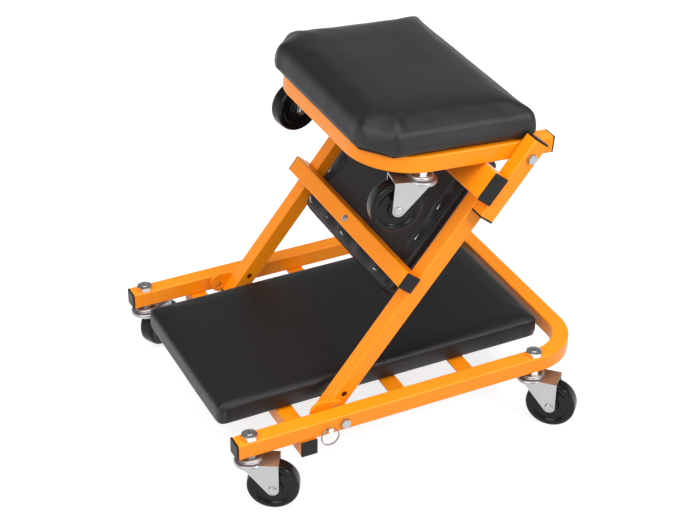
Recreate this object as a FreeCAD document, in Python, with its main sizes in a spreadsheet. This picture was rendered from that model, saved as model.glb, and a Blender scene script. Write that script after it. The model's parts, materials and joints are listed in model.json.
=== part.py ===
"""Folding mechanic creeper, shown folded up as a rolling work seat.

A U-shaped base frame on four swivel casters carries a lying pad. Two legs pivot inside the
base rails and carry a second pad. A U-shaped seat frame with two casters pivots on links at
the top of the legs. Millimetres, +Z up, origin on the floor below the middle of the base.
-X is the open end of the base (front), -Y is the left side of a person who faces -X.
"""
import FreeCAD
import Part
import Sketcher
import math
import os
import re

# Driving dimensions, in millimetres and degrees
SIZES = {
    # Square tube used for every frame, and its plastic end caps
    "tube": 25,
    "tube_wall": 1.6,
    "cap_flange": 3,
    "cap_depth": 12,
    "cap_fit": 0.1,
    # Base frame and what is welded under it
    "base_length": 561,
    "base_width": 430,
    "base_bend": 78,
    "stop_tube_setback": 104.9,
    "strap_width": 25,
    "strap_thickness": 3,
    "front_strap_setback": 269.5,
    "rear_strap_setback": 382.5,
    # Fold of the middle section on the base
    "fold_setback": 160.6,
    "leg_angle": 51,
    "leg_gap": 10.5,
    "leg_heel": 18,
    "leg_end_gap": 1,
    "stop_clearance": 0.4,
    "pivot_span": 448,
    "lower_cross_reach": 211,
    "upper_cross_width": 44,
    "link_start": 346,
    "link_end": 472,
    # Lock plates, pins and pull rings
    "plate_thickness": 5,
    "plate_radius": 16,
    "plate_reach": 23,
    "plate_turn": 119,
    "lock_reach": 25.5,
    "lock_pin_diameter": 8,
    "lock_pin_stub": 9,
    "pin_gap": 0.5,
    "pin_engage": 4,
    "ring_diameter": 28,
    "ring_wire": 2,
    "ring_slack": 0.9,
    # Pivot bolts
    "bolt_diameter": 8,
    "bolt_head_across": 13,
    "bolt_head_height": 5.3,
    "nut_height": 7,
    "bolt_end": 1.5,
    "pivot_fit": 0.08,
    "face_gap": 0.2,
    "spacer_diameter": 18,
    # Seat frame
    "seat_tilt": 4.5,
    "seat_length": 276,
    "seat_overhang": 50,
    "seat_bend": 87,
    "seat_gap": 1.5,
    "seat_strap_reach": 95,
    # Boards and pads
    "board_thickness": 9,
    "board_inset": 8,
    "board_fit": 0.2,
    "pad_gap": 14.5,
    "base_pad_setback": 3,
    "base_pad_gap": 19,
    "middle_pad_start": 178,
    "middle_pad_length": 234,
    "pad_corner": 12,
    "pad_drawn_in": 5,
    "pad_belly": 12,
    "pad_edge": 23,
    "pad_shoulder": 33.5,
    "pad_shoulder_inset": 10,
    "pad_crown": 37,
    "pad_crown_inset": 64,
    "seat_pad_setback": 23,
    "seat_pad_gap": 1,
    "seat_pad_corner_run": 38,
    "seat_pad_corner_rise": 43,
    "seat_pad_drawn_in": 2,
    "seat_pad_belly": 10,
    "seat_pad_edge": 20,
    "seat_pad_shoulder": 30,
    "seat_pad_shoulder_inset": 9,
    "seat_pad_crown": 44,
    "seat_pad_crown_inset": 75,
    # Pad screws
    "screw_diameter": 5,
    "screw_head_diameter": 10,
    "screw_head_height": 2.6,
    "screw_bite": 7,
    "screw_fit": 0.2,
    "base_screw_spread": 180,
    "seat_screw_reach": 75,
    "seat_screw_spread": 120,
    # Swivel casters
    "wheel_diameter": 75,
    "wheel_width": 24,
    "wheel_rim": 9,
    "wheel_dish": 4,
    "hub_diameter": 26,
    "hub_width": 28,
    "tread_round": 3,
    "trail": 32,
    "crown_gap": 2.5,
    "fork_gap": 30,
    "fork_sheet": 2.5,
    "fork_dish_diameter": 46,
    "fork_dish_depth": 6,
    "fork_front": 9,
    "fork_skirt": 6,
    "fork_eye": 9,
    "swivel_gap": 0.2,
    "race_diameter": 38,
    "race_top_diameter": 28,
    "race_height": 4.8,
    "stem_diameter": 10,
    "stem_nut_across": 17,
    "stem_nut_height": 5,
    "stem_head_diameter": 20,
    "stem_head_height": 4,
    "stem_end": 1.5,
    "washer_diameter": 22,
    "washer_thickness": 1.6,
    "axle_diameter": 8,
    "axle_head_diameter": 13,
    "axle_head_height": 2.6,
    "front_stem_setback": 21,
    "rear_stem_setback": 87.3,
    "seat_stem_reach": 147,
    "front_swivel": 30,
    "rear_swivel": 45,
    "seat_swivel": 170,
}

# Places worked out from the driving dimensions; those of the seat are measured from its pivot
PLACES = {
    "half_tube": "tube / 2",
    "open_x": "-(base_length - cap_flange) / 2",
    "closed_x": "open_x + base_length",
    "axle_z": "wheel_diameter / 2",
    "crown_z": "wheel_diameter + crown_gap + fork_sheet",
    "caster_height": "crown_z + swivel_gap + race_height + stem_nut_height",
    "rail_mid": "caster_height + half_tube",
    "rail_y": "base_width / 2 - half_tube",
    "fold_x": "open_x + fold_setback",
    "fold_z": "rail_mid + stop_clearance",
    "leg_face": "base_width / 2 - tube - leg_gap",
    "leg_y": "leg_face - half_tube",
    "plate_face": "leg_face + plate_thickness",
    "link_y": "leg_face + half_tube",
    "link_face": "leg_face + tube",
    "seat_pivot_x": "fold_x + pivot_span * cos(leg_angle)",
    "seat_pivot_z": "fold_z + pivot_span * sin(leg_angle)",
    "seat_mid": "stop_clearance",
    "seat_top": "seat_mid + half_tube",
    "seat_width": "2 * (leg_face - seat_gap)",
    "seat_y": "seat_width / 2 - half_tube",
    "seat_front_x": "seat_overhang - seat_length",
    "cross_t": "half_tube + tube / 2",
    "cross_rise": "half_tube + (half_tube + tube) * cos(leg_angle + seat_tilt)",
    "upper_cross_end": "pivot_span - cross_rise / sin(leg_angle + seat_tilt)",
    "upper_cross_reach": "upper_cross_end - upper_cross_width / 2",
    "overhang_swing": "sqrt((seat_overhang + cap_flange) ^ 2 + (half_tube + stop_clearance) ^ 2)",
    "leg_length": "leg_heel + pivot_span - overhang_swing - leg_end_gap - cap_flange",
    "pad_width": "2 * (leg_face - tube - pad_gap)",
    "seat_pad_width": "2 * (leg_face - seat_pad_gap)",
    "base_pad_length": "base_length - tube - base_pad_setback - base_pad_gap",
    "seat_pad_length": "seat_length - seat_pad_setback",
    "pin_x": "fold_x - lock_reach",
    "pin_outer": "base_width / 2 + lock_pin_stub",
    "pin_length": "pin_outer - plate_face - pin_gap",
    "ring_radius": "(ring_diameter - ring_wire) / 2",
    "ring_y": "base_width / 2 + pin_engage + ring_wire / 2 + pin_gap",
    "pivot_hole": "bolt_diameter / 2 + pivot_fit",
    "fold_bolt_length": "base_width / 2 - leg_face + tube + face_gap + nut_height + bolt_end",
    "seat_bolt_length": "link_face - seat_width / 2 + tube + face_gap + nut_height + bolt_end",
    "strap_z": "caster_height - strap_thickness / 2",
    "board_z": "board_thickness / 2",
    "front_stem_x": "open_x + front_stem_setback",
    "rear_stem_x": "closed_x - rear_stem_setback",
    "seat_stem_x": "-seat_stem_reach",
    "seat_bend_y": "seat_width / 2 - seat_bend",
    "stem_run": "max(seat_front_x + seat_bend - seat_stem_x; 0)",
    "seat_stem_y": "seat_bend_y + sqrt((seat_bend - half_tube) ^ 2 - stem_run ^ 2)",
    "seat_caster_z": "seat_mid - half_tube - caster_height",
    "stem_hole": "stem_diameter / 2 + pivot_fit",
    "fork_width": "fork_gap + 2 * fork_sheet",
    "fork_rear": "trail + fork_eye",
    "slant_x": "trail + fork_front",
    "slant_z": "crown_z - fork_skirt - axle_z",
    "slant_length": "sqrt(slant_x ^ 2 + slant_z ^ 2)",
    "slant_far": "sqrt(slant_length ^ 2 - fork_eye ^ 2)",
    "tangent_x": "trail - fork_eye * (fork_eye * slant_x + slant_far * slant_z) / slant_length ^ 2",
    "tangent_z": "axle_z + fork_eye * (fork_eye * slant_z - slant_far * slant_x) / slant_length ^ 2",
    "hub_bore": "axle_diameter / 2 + pivot_fit",
    "dish_y": "wheel_width / 2 - wheel_dish",
    "rim_inner": "wheel_diameter / 2 - wheel_rim",
}

# Steps of the pads' rounded forms, and how much of a quarter turn the shoulder takes
HEM_STEPS = 3
SHOULDER_STEPS = 4
CROWN_STEPS = 3
SHOULDER_SHARE = 0.85

SIDES = {"left": "-", "right": ""}
UP = (0, 0, 1)
DOWN = (0, 0, -1)
FOLD_AXIS = (0, -1, 0)
SEAT_AXIS = (0, 1, 0)
# Turns that lay an upright cylinder along an axis
LAY = {"x": ((0, 1, 0), 90), "y": ((-1, 0, 0), 90), "-y": ((1, 0, 0), 90), "z": (UP, 0)}

doc = FreeCAD.newDocument("Creeper")
nodes = {}


def tie(text):
    """Point every size or place named in a formula at its cell."""
    def cell(match):
        word = match.group(0)
        if word in SIZES:
            return "Sizes." + word
        return "Places." + word if word in PLACES else word
    return re.sub(r"[a-z_]+", cell, text)


def fill_sheet(name, rows):
    sheet = doc.addObject("Spreadsheet::Sheet", name)
    for row, (alias, text) in enumerate(rows.items(), start=1):
        sheet.set(f"A{row}", alias)
        sheet.set(f"B{row}", text)
        sheet.setAlias(f"B{row}", alias)
    doc.recompute()
    return sheet


sizes_sheet = fill_sheet("Sizes", {alias: str(size) for alias, size in SIZES.items()})
places_sheet = fill_sheet("Places", {alias: "=" + tie(text) for alias, text in PLACES.items()})


def value(name):
    return float(getattr(sizes_sheet if name in SIZES else places_sheet, name))


def vector(x, y, z):
    return FreeCAD.Vector(x, y, z)


def bind(obj, **formulas):
    for prop, text in formulas.items():
        obj.setExpression(prop, tie(text))
    return obj


def put(obj, at, axis=UP, angle=0):
    """Place an object; a formula given as the angle is bound to the sheet."""
    bound = isinstance(angle, str)
    turn = FreeCAD.Rotation(vector(*axis), 1 if bound else angle)
    obj.Placement = FreeCAD.Placement(vector(0, 0, 0), turn)
    if bound:
        obj.setExpression("Placement.Rotation.Angle", tie(angle))
    for letter, text in zip("xyz", at):
        obj.setExpression("Placement.Base." + letter, tie(text))
    return obj


def block(size, centre):
    obj = bind(doc.addObject("Part::Box", "Block"), Length=size[0], Width=size[1], Height=size[2])
    return put(obj, [f"({c}) - ({s}) / 2" for c, s in zip(centre, size)])


def rod(radius, length, start, along="z"):
    obj = bind(doc.addObject("Part::Cylinder", "Rod"), Radius=radius, Height=length)
    return put(obj, start, *LAY[along])


def taper(bottom, top, height, start):
    obj = bind(doc.addObject("Part::Cone", "Taper"), Radius1=bottom, Radius2=top, Height=height)
    return put(obj, start)


def hexagon(across, height, start, along="z"):
    obj = doc.addObject("Part::Prism", "Hexagon")
    obj.Polygon = 6
    bind(obj, Circumradius=f"({across}) / sqrt(3)", Height=height)
    return put(obj, start, *LAY[along])


def fuse(shapes):
    obj = doc.addObject("Part::MultiFuse", "Joined")
    obj.Shapes = shapes
    obj.Refine = True
    return obj


def cut(base, tools):
    obj = doc.addObject("Part::Cut", "Trimmed")
    obj.Base = base
    obj.Tool = tools[0] if len(tools) == 1 else fuse(tools)
    obj.Refine = True
    return obj


def group(shapes):
    obj = doc.addObject("Part::Compound", "Group")
    obj.Links = shapes
    return obj


def node(name, obj):
    obj.Label = name
    nodes[name] = obj
    return obj


def in_leg_frame(obj):
    """Turn a shape drawn along the leg (x along the leg, z square to it) into its place."""
    return put(obj, ("fold_x", "0", "fold_z"), FOLD_AXIS, "leg_angle")


def in_seat_frame(obj):
    """Tilt a shape drawn level, with the seat pivot as its origin, into its place."""
    return put(obj, ("seat_pivot_x", "0", "seat_pivot_z"), SEAT_AXIS, "seat_tilt")


def square_tube(size, centre, along, holes=()):
    """Straight tube with open ends; along is 0 for X and 1 for Y."""
    inner = [s if i == along else f"{s} - 2 * tube_wall" for i, s in enumerate(size)]
    return cut(block(size, centre), [block(inner, centre), *holes])


def end_cap(section, face, along, outward):
    """Plug with a flange; section is the tube's two outer sizes, face the centre of its end."""
    solids = []
    inward = {"": "-", "-": ""}[outward]
    plug = ("cap_depth", "(tube_wall + cap_fit)", inward)
    for thickness, shrink, way in (("cap_flange", "0", outward), plug):
        size = [f"{s} - 2 * {shrink}" for s in section]
        size.insert(along, thickness)
        centre = list(face)
        centre[along] = f"{face[along]} + {way}{thickness} / 2"
        solids.append(block(size, centre))
    return fuse(solids)


def polygon_sketch(points):
    """Closed outline whose corners are bound to the sheet."""
    sketch = doc.addObject("Sketcher::SketchObject", "Outline")
    count = len(points)
    for i in range(count):
        start = vector(math.cos(2 * math.pi * i / count), math.sin(2 * math.pi * i / count), 0)
        end = vector(math.cos(2 * math.pi * (i + 1) / count), math.sin(2 * math.pi * (i + 1) / count), 0)
        sketch.addGeometry(Part.LineSegment(start, end))
    for i in range(count):
        sketch.addConstraint(Sketcher.Constraint("Coincident", i, 2, (i + 1) % count, 1))
    for i, corner in enumerate(points):
        for kind, text in zip(("DistanceX", "DistanceY"), corner):
            index = sketch.addConstraint(Sketcher.Constraint(kind, i, 1, 1.0))
            sketch.setExpression(f"Constraints[{index}]", tie(text))
    return sketch


def extrude_outline(points, length, axis, start, turn=None):
    """Prism of an outline, drawn flat or, with a turn, in the plane of X and Z."""
    sketch = polygon_sketch(points)
    put(sketch, start, *(turn or (UP, 0)))
    obj = doc.addObject("Part::Extrusion", "Prism")
    obj.Base = sketch
    obj.DirMode = "Custom"
    obj.Dir = vector(*axis)
    obj.Solid = True
    obj.Symmetric = turn is not None
    return bind(obj, LengthFwd=length)


def ring(outer, inner, height, start, along="z"):
    return cut(rod(outer, height, start, along), [rod(inner, height, start, along)])


def hex_nut(across, bore, height, start, along="z"):
    return cut(hexagon(across, height, start, along), [rod(bore, height, start, along)])


def cross_hole(radius, x, y, z, width="tube"):
    """Hole along Y through a tube whose centre line is at y."""
    return rod(radius, width, (x, f"{y} - {width} / 2", z), "y")


INWARD = {"left": "y", "right": "-y"}
OUTWARD = {"left": "-y", "right": "y"}
CASTERS = {
    "front_left": ("front_stem_x", "-rail_y", "0", DOWN, "front_swivel"),
    "front_right": ("front_stem_x", "rail_y", "0", UP, "front_swivel"),
    "rear_left": ("rear_stem_x", "-rail_y", "0", DOWN, "rear_swivel"),
    "rear_right": ("rear_stem_x", "rail_y", "0", UP, "rear_swivel"),
    "seat_left": ("seat_stem_x", "-seat_stem_y", "seat_caster_z", UP, "seat_swivel"),
    "seat_right": ("seat_stem_x", "seat_stem_y", "seat_caster_z", DOWN, "seat_swivel"),
}
BASE_CASTERS = [name for name in CASTERS if not name.startswith("seat")]
SEAT_CASTERS = [name for name in CASTERS if name.startswith("seat")]
BASE_STRAPS = {
    "front_base_strap": "open_x + front_strap_setback",
    "rear_base_strap": "open_x + rear_strap_setback",
}


def u_solid(length, width, bend, inset):
    """Square bar bent to a U in plan: open ends at x = 0, closed end at x = length."""
    thick = f"(tube - 2 * {inset})"
    run = f"({length} - {bend})"
    reach = f"({width} / 2 - {bend})"
    pieces = [block((thick, f"2 * {reach}", thick), (f"{length} - half_tube", "0", "0"))]
    for mark, axis, angle in (("-", DOWN, 90), ("", UP, 0)):
        pieces.append(block((run, thick, thick), (f"{run} / 2", f"{mark}({width} / 2 - half_tube)", "0")))
        corner = (run, mark + reach, f"-{thick} / 2")
        sectors = []
        for radius in (f"{bend} - {inset}", f"{bend} - tube + {inset}"):
            sector = rod(radius, thick, corner)
            sector.Angle = 90
            sectors.append(put(sector, corner, axis, angle))
        pieces.append(cut(sectors[0], [sectors[1]]))
    return fuse(pieces)


def u_frame(length, width, bend):
    return cut(u_solid(length, width, bend, "0"), [u_solid(length, width, bend, "tube_wall")])


def stem_holes(names, depth, z):
    return [rod("stem_hole", depth, (*CASTERS[name][:2], z)) for name in names]


# Base section

def make_base_frame():
    shell = put(u_frame("base_length", "base_width", "base_bend"), ("open_x", "0", "rail_mid"))
    holes = stem_holes(BASE_CASTERS, "tube", "caster_height")
    for mark in SIDES.values():
        holes.append(cross_hole("pivot_hole", "fold_x", f"{mark}rail_y", "fold_z"))
        holes.append(cross_hole("lock_pin_diameter / 2 + pivot_fit", "pin_x", f"{mark}rail_y", "fold_z"))
    node("base_frame", cut(shell, holes))


def make_base_cross_members():
    stop = ("open_x + stop_tube_setback", "0", "caster_height - half_tube")
    node("base_stop_tube", square_tube(("tube", "base_width", "tube"), stop, 1))
    for name, x in BASE_STRAPS.items():
        strap = block(("strap_width", "base_width - tube", "strap_thickness"), (x, "0", "strap_z"))
        node(name, cut(strap, base_screw_holes(x)))
    caps = []
    for mark in SIDES.values():
        caps.append(end_cap(("tube", "tube"), ("open_x", f"{mark}rail_y", "rail_mid"), 0, "-"))
        caps.append(end_cap(("tube", "tube"), (stop[0], f"{mark}base_width / 2", stop[2]), 1, mark))
    node("base_tube_caps", group(caps))


def base_screw_holes(x):
    start = "caster_height - strap_thickness"
    depth = "strap_thickness + screw_bite + screw_fit"
    spots = [(x, f"{mark}base_screw_spread / 2", start) for mark in SIDES.values()]
    return [rod("screw_diameter / 2 + screw_fit", depth, spot) for spot in spots]


def make_base_pad():
    size = ("base_pad_length - 2 * board_inset", "pad_width - 2 * board_inset", "board_thickness")
    centre = ("open_x + base_pad_setback + base_pad_length / 2", "0", "caster_height + board_z")
    holes = [hole for x in BASE_STRAPS.values() for hole in base_screw_holes(x)]
    node("base_pad_board", cut(block(size, centre), holes))
    screws = []
    for x in BASE_STRAPS.values():
        for mark in SIDES.values():
            spot = (x, f"{mark}base_screw_spread / 2", "caster_height - strap_thickness")
            head = (*spot[:2], f"{spot[2]} - screw_head_height")
            shank = rod("screw_diameter / 2", "strap_thickness + screw_bite", spot)
            screws.append(fuse([shank, rod("screw_head_diameter / 2", "screw_head_height", head)]))
    node("base_pad_screws", group(screws))


def make_fold_pivots():
    bolts = []
    nuts = []
    spacers = []
    for side, mark in SIDES.items():
        face = ("fold_x", f"{mark}base_width / 2", "fold_z")
        head = hexagon("bolt_head_across", "bolt_head_height", face, OUTWARD[side])
        bolts.append(fuse([head, rod("bolt_diameter / 2", "fold_bolt_length", face, INWARD[side])]))
        seat = ("fold_x", f"{mark}(leg_face - tube - face_gap)", "fold_z")
        nuts.append(hex_nut("bolt_head_across", "pivot_hole", "nut_height", seat, INWARD[side]))
        inner = ("fold_x", f"{mark}(base_width / 2 - tube)", "fold_z")
        length = "base_width / 2 - tube - plate_face - face_gap"
        spacers.append(ring("spacer_diameter / 2", "pivot_hole", length, inner, INWARD[side]))
    node("fold_pivot_bolts", group(bolts))
    node("fold_pivot_nuts", group(nuts))
    node("fold_pivot_spacers", group(spacers))


# Middle section, drawn along the leg and turned into place

def make_legs():
    for side, mark in SIDES.items():
        y = f"{mark}leg_y"
        holes = [
            cross_hole("pivot_hole", "0", y, "0"),
            cross_hole("lock_pin_diameter / 2 + pin_gap", "lock_reach", y, "0"),
        ]
        centre = ("leg_length / 2 - leg_heel", y, "0")
        node(f"{side}_leg", in_leg_frame(square_tube(("leg_length", "tube", "tube"), centre, 0, holes)))


def make_lock_plates():
    """Rounded plate on the leg whose hole meets the lock pin while the seat is up."""
    for side, mark in SIDES.items():
        y = f"{mark}(leg_face + plate_thickness / 2)"
        low = f"{y} - plate_thickness / 2"
        blank = fuse([
            rod("plate_radius", "plate_thickness", ("0", low, "0"), "y"),
            rod("plate_radius", "plate_thickness", ("plate_reach", low, "0"), "y"),
            block(("plate_reach", "plate_thickness", "2 * plate_radius"), ("plate_reach / 2", y, "0")),
        ])
        turn = "(180 - leg_angle - plate_turn)"
        lock = (f"lock_reach * cos{turn}", f"lock_reach * sin{turn}")
        holes = [
            cross_hole("pivot_hole", "0", y, "0", "plate_thickness"),
            cross_hole("lock_pin_diameter / 2 + pin_gap", lock[0], y, lock[1], "plate_thickness"),
        ]
        plate = cut(blank, holes)
        put(plate, ("fold_x", "0", "fold_z"), FOLD_AXIS, "leg_angle + plate_turn")
        node(f"{side}_lock_plate", plate)


def middle_screw(x, radius, length, lift):
    return rod(radius, length, (x, "0", f"half_tube + {lift}"))


def make_middle_frame():
    caps = []
    screws = []
    board_holes = []
    hole = ("screw_diameter / 2 + screw_fit", "tube + screw_bite + screw_fit", "-screw_bite - screw_fit")
    crosses = {
        "lower_cross_tube": ("lower_cross_reach", "tube", "leg_face"),
        "upper_cross_tube": ("upper_cross_reach", "upper_cross_width", "link_face"),
    }
    for name, (reach, width, face) in crosses.items():
        size = (width, f"2 * {face}", "tube")
        tube = square_tube(size, (reach, "0", "cross_t"), 1, [middle_screw(reach, *hole)])
        node(name, in_leg_frame(tube))
        for mark in SIDES.values():
            caps.append(end_cap((width, "tube"), (reach, mark + face, "cross_t"), 1, mark))
        shank = middle_screw(reach, "screw_diameter / 2", "tube + screw_bite", "-screw_bite")
        head = middle_screw(reach, "screw_head_diameter / 2", "screw_head_height", "tube")
        screws.append(fuse([shank, head]))
        board_holes.append(middle_screw(reach, *hole))
    for side, mark in SIDES.items():
        y = f"{mark}link_y"
        size = ("link_end - link_start", "tube", "tube")
        centre = ("(link_start + link_end) / 2", y, "0")
        link = square_tube(size, centre, 0, [cross_hole("pivot_hole", "pivot_span", y, "0")])
        node(f"{side}_hinge_link", in_leg_frame(link))
        caps.append(end_cap(("tube", "tube"), ("link_start", y, "0"), 0, "-"))
        caps.append(end_cap(("tube", "tube"), ("link_end", y, "0"), 0, ""))
        caps.append(end_cap(("tube", "tube"), ("-leg_heel", f"{mark}leg_y", "0"), 0, "-"))
        caps.append(end_cap(("tube", "tube"), ("leg_length - leg_heel", f"{mark}leg_y", "0"), 0, ""))
    node("middle_tube_caps", in_leg_frame(group(caps)))
    node("middle_pad_screws", in_leg_frame(group(screws)))
    size = ("middle_pad_length - 2 * board_inset", "pad_width - 2 * board_inset", "board_thickness")
    centre = ("middle_pad_start + middle_pad_length / 2", "0", "half_tube - board_z")
    node("middle_pad_board", in_leg_frame(cut(block(size, centre), board_holes)))


def make_seat_pivots():
    bolts = []
    nuts = []
    washers = []
    for side, mark in SIDES.items():
        face = ("seat_pivot_x", f"{mark}link_face", "seat_pivot_z")
        head = hexagon("bolt_head_across", "bolt_head_height", face, OUTWARD[side])
        bolts.append(fuse([head, rod("bolt_diameter / 2", "seat_bolt_length", face, INWARD[side])]))
        inner = ("seat_pivot_x", f"{mark}(seat_width / 2 - tube - face_gap)", "seat_pivot_z")
        nuts.append(hex_nut("bolt_head_across", "pivot_hole", "nut_height", inner, INWARD[side]))
        gap = ("seat_pivot_x", f"{mark}leg_face", "seat_pivot_z")
        washers.append(ring("spacer_diameter / 2", "pivot_hole", "seat_gap - face_gap", gap, INWARD[side]))
    node("seat_pivot_bolts", group(bolts))
    node("seat_pivot_nuts", group(nuts))
    node("seat_pivot_washers", group(washers))


# Seat section

# Place of each pair of seat screws, and the thickness they pass before the board
SEAT_SCREWS = [
    ("-seat_screw_reach", "seat_y", "tube"),
    ("-seat_strap_reach", "seat_screw_spread / 2", "strap_thickness"),
]


def seat_screw_rods(radius, reach):
    """Upright rods at the seat screws, from the seat of their heads up to reach above the rails."""
    rods = []
    for x, y, grip in SEAT_SCREWS:
        for mark in SIDES.values():
            rods.append(rod(radius, f"{grip} + {reach}", (x, mark + y, f"seat_top - {grip}")))
    return rods


def make_seat_frame():
    shell = put(u_frame("seat_length", "seat_width", "seat_bend"), ("seat_overhang", "0", "seat_mid"), UP, 180)
    holes = stem_holes(SEAT_CASTERS, "tube_wall", "seat_mid - half_tube")
    screw_holes = seat_screw_rods("screw_diameter / 2 + screw_fit", "0")
    for mark in SIDES.values():
        holes.append(cross_hole("pivot_hole", "0", f"{mark}seat_y", "0"))
    node("seat_frame", in_seat_frame(cut(shell, holes + screw_holes[:2])))
    centre = ("-seat_strap_reach", "0", "seat_top - strap_thickness / 2")
    strap = block(("strap_width", "seat_width - 2 * tube", "strap_thickness"), centre)
    node("seat_cross_strap", in_seat_frame(cut(strap, screw_holes[2:])))
    ends = [("seat_overhang", f"{mark}seat_y", "seat_mid") for mark in SIDES.values()]
    caps = [end_cap(("tube", "tube"), end, 0, "") for end in ends]
    node("seat_rail_caps", in_seat_frame(group(caps)))


def make_seat_board():
    front = "(seat_front_x + board_inset)"
    back = "(seat_front_x + seat_pad_length - board_inset)"
    half = "(seat_pad_width / 2 - board_inset)"
    corner = [(f"{front} + seat_pad_corner_run", half), (front, f"{half} - seat_pad_corner_rise")]
    right = [(back, half), *corner]
    left = [(x, f"-({y})") for x, y in reversed(right)]
    blank = extrude_outline(right + left, "board_thickness", UP, ("0", "0", "seat_top"))
    holes = seat_screw_rods("screw_diameter / 2 + screw_fit", "screw_bite + screw_fit")
    node("seat_board", in_seat_frame(cut(blank, holes)))
    screws = []
    for x, y, grip in SEAT_SCREWS:
        for mark in SIDES.values():
            spot = (x, mark + y, f"seat_top - {grip}")
            head = (*spot[:2], f"{spot[2]} - screw_head_height")
            shank = rod("screw_diameter / 2", f"{grip} + screw_bite", spot)
            screws.append(fuse([shank, rod("screw_head_diameter / 2", "screw_head_height", head)]))
    node("seat_screws", in_seat_frame(group(screws)))


# Lock pins and their pull rings

def make_lock_pins():
    for side, mark in SIDES.items():
        outer = ("pin_x", f"{mark}pin_outer", "fold_z")
        blank = rod("lock_pin_diameter / 2", "pin_length", outer, INWARD[side])
        start = ("pin_x - lock_pin_diameter / 2", f"{mark}ring_y", "fold_z")
        eye = rod("ring_wire / 2 + ring_slack", "lock_pin_diameter", start, "x")
        node(f"{side}_lock_pin", cut(blank, [eye]))
        loop = bind(doc.addObject("Part::Torus", "Loop"), Radius1="ring_radius", Radius2="ring_wire / 2")
        node(f"{side}_pin_ring", put(loop, ("pin_x", f"{mark}ring_y", "fold_z - ring_radius"), *LAY["y"]))


# Casters: stems, nuts and races stay with the frame, forks swivel, wheels turn on axles

def caster_node(name, obj):
    """The base's casters are drawn in place, the seat's in the frame of the seat."""
    node(name, in_seat_frame(obj) if name.startswith("seat") else obj)


def make_caster_fixings(section, names, lock_lift, washers):
    """Stud, race and jam nut below the rail, and a lock nut at lock_lift above its underside."""
    studs = []
    nuts = []
    races = []
    for name in names:
        x, y, floor = CASTERS[name][:3]
        head_z = f"{floor} + crown_z - fork_sheet - face_gap - stem_head_height"
        rise = "stem_head_height + face_gap + fork_sheet + swivel_gap + race_height + stem_nut_height"
        length = f"{rise} + {lock_lift} + stem_nut_height + stem_end"
        shank = rod("stem_diameter / 2", length, (x, y, head_z))
        studs.append(fuse([shank, rod("stem_head_diameter / 2", "stem_head_height", (x, y, head_z))]))
        race_z = f"{floor} + crown_z + swivel_gap"
        cone = taper("race_diameter / 2", "race_top_diameter / 2", "race_height", (x, y, race_z))
        races.append(cut(cone, [rod("stem_hole", "race_height", (x, y, race_z))]))
        for z in (f"{race_z} + race_height", f"{floor} + caster_height + {lock_lift}"):
            nuts.append(hex_nut("stem_nut_across", "stem_hole", "stem_nut_height", (x, y, z)))
        if washers:
            top = (x, y, f"{floor} + caster_height + tube")
            nuts.append(ring("washer_diameter / 2", "stem_hole", "washer_thickness", top))
    for piece, solids in (("studs", studs), ("nuts", nuts), ("races", races)):
        caster_node(f"{section}_caster_{piece}", group(solids))


def fork_shape():
    """Pressed fork: a round dish under the race and two slanted sides down to the axle."""
    outline = [
        ("-fork_front", "crown_z"),
        ("-fork_front", "crown_z - fork_skirt"),
        ("tangent_x", "tangent_z"),
        ("trail", "axle_z"),
        ("fork_rear", "axle_z"),
        ("fork_rear", "crown_z"),
    ]
    sides = extrude_outline(outline, "fork_width", (0, 1, 0), ("0", "0", "0"), ((1, 0, 0), 90))
    eye = cross_hole("fork_eye", "trail", "0", "axle_z", "fork_width")
    low = "crown_z - fork_dish_depth"
    dish = fuse([
        rod("fork_dish_diameter / 2", "fork_dish_depth - fork_sheet", ("0", "0", low)),
        taper("fork_dish_diameter / 2", "fork_dish_diameter / 2 - fork_sheet", "fork_sheet",
              ("0", "0", "crown_z - fork_sheet")),
    ])
    recess = rod("fork_dish_diameter / 2 - fork_sheet", "fork_dish_depth - fork_sheet", ("0", "0", low))
    channel = block(("fork_front + fork_rear", "fork_gap", "crown_z - fork_sheet"),
                    ("(fork_rear - fork_front) / 2", "0", "(crown_z - fork_sheet) / 2"))
    stem = rod("stem_hole", "fork_sheet", ("0", "0", "crown_z - fork_sheet"))
    axle = cross_hole("hub_bore", "trail", "0", "axle_z", "fork_width")
    return cut(fuse([sides, eye, cut(dish, [recess])]), [channel, stem, axle])


def wheel_shape():
    """Moulded wheel: hub, dished web and rounded rim, turned about the axle."""
    half = [
        ("hub_bore", "hub_width / 2"),
        ("hub_diameter / 2", "hub_width / 2"),
        ("hub_diameter / 2", "dish_y"),
        ("rim_inner", "dish_y"),
        ("rim_inner", "wheel_width / 2"),
        ("wheel_diameter / 2 - tread_round", "wheel_width / 2"),
        ("wheel_diameter / 2", "wheel_width / 2 - tread_round"),
    ]
    section = [(f"trail + {r}", y) for r, y in half]
    section += [(f"trail + {r}", f"-({y})") for r, y in reversed(half)]
    sketch = put(polygon_sketch(section), ("0", "0", "axle_z"))
    obj = doc.addObject("Part::Revolution", "Turned")
    obj.Source = sketch
    obj.Axis = vector(0, 1, 0)
    obj.Angle = 360
    obj.Solid = True
    obj.setExpression("Base.x", tie("trail"))
    obj.setExpression("Base.z", tie("axle_z"))
    return obj


def axle_shape():
    pieces = [cross_hole("axle_diameter / 2", "trail", "0", "axle_z", "fork_width")]
    for along, mark in (("-y", "-"), ("y", "")):
        start = ("trail", f"{mark}fork_width / 2", "axle_z")
        pieces.append(rod("axle_head_diameter / 2", "axle_head_height", start, along))
    return fuse(pieces)


def make_casters():
    for name, (x, y, floor, axis, swivel) in CASTERS.items():
        for piece, shape in (("fork", fork_shape), ("wheel", wheel_shape), ("axle", axle_shape)):
            caster_node(f"{name}_caster_{piece}", group([put(shape(), (x, y, floor), axis, swivel)]))


# Pads: crowned cushions with drawn-in sides and a pocket for the board

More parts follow.
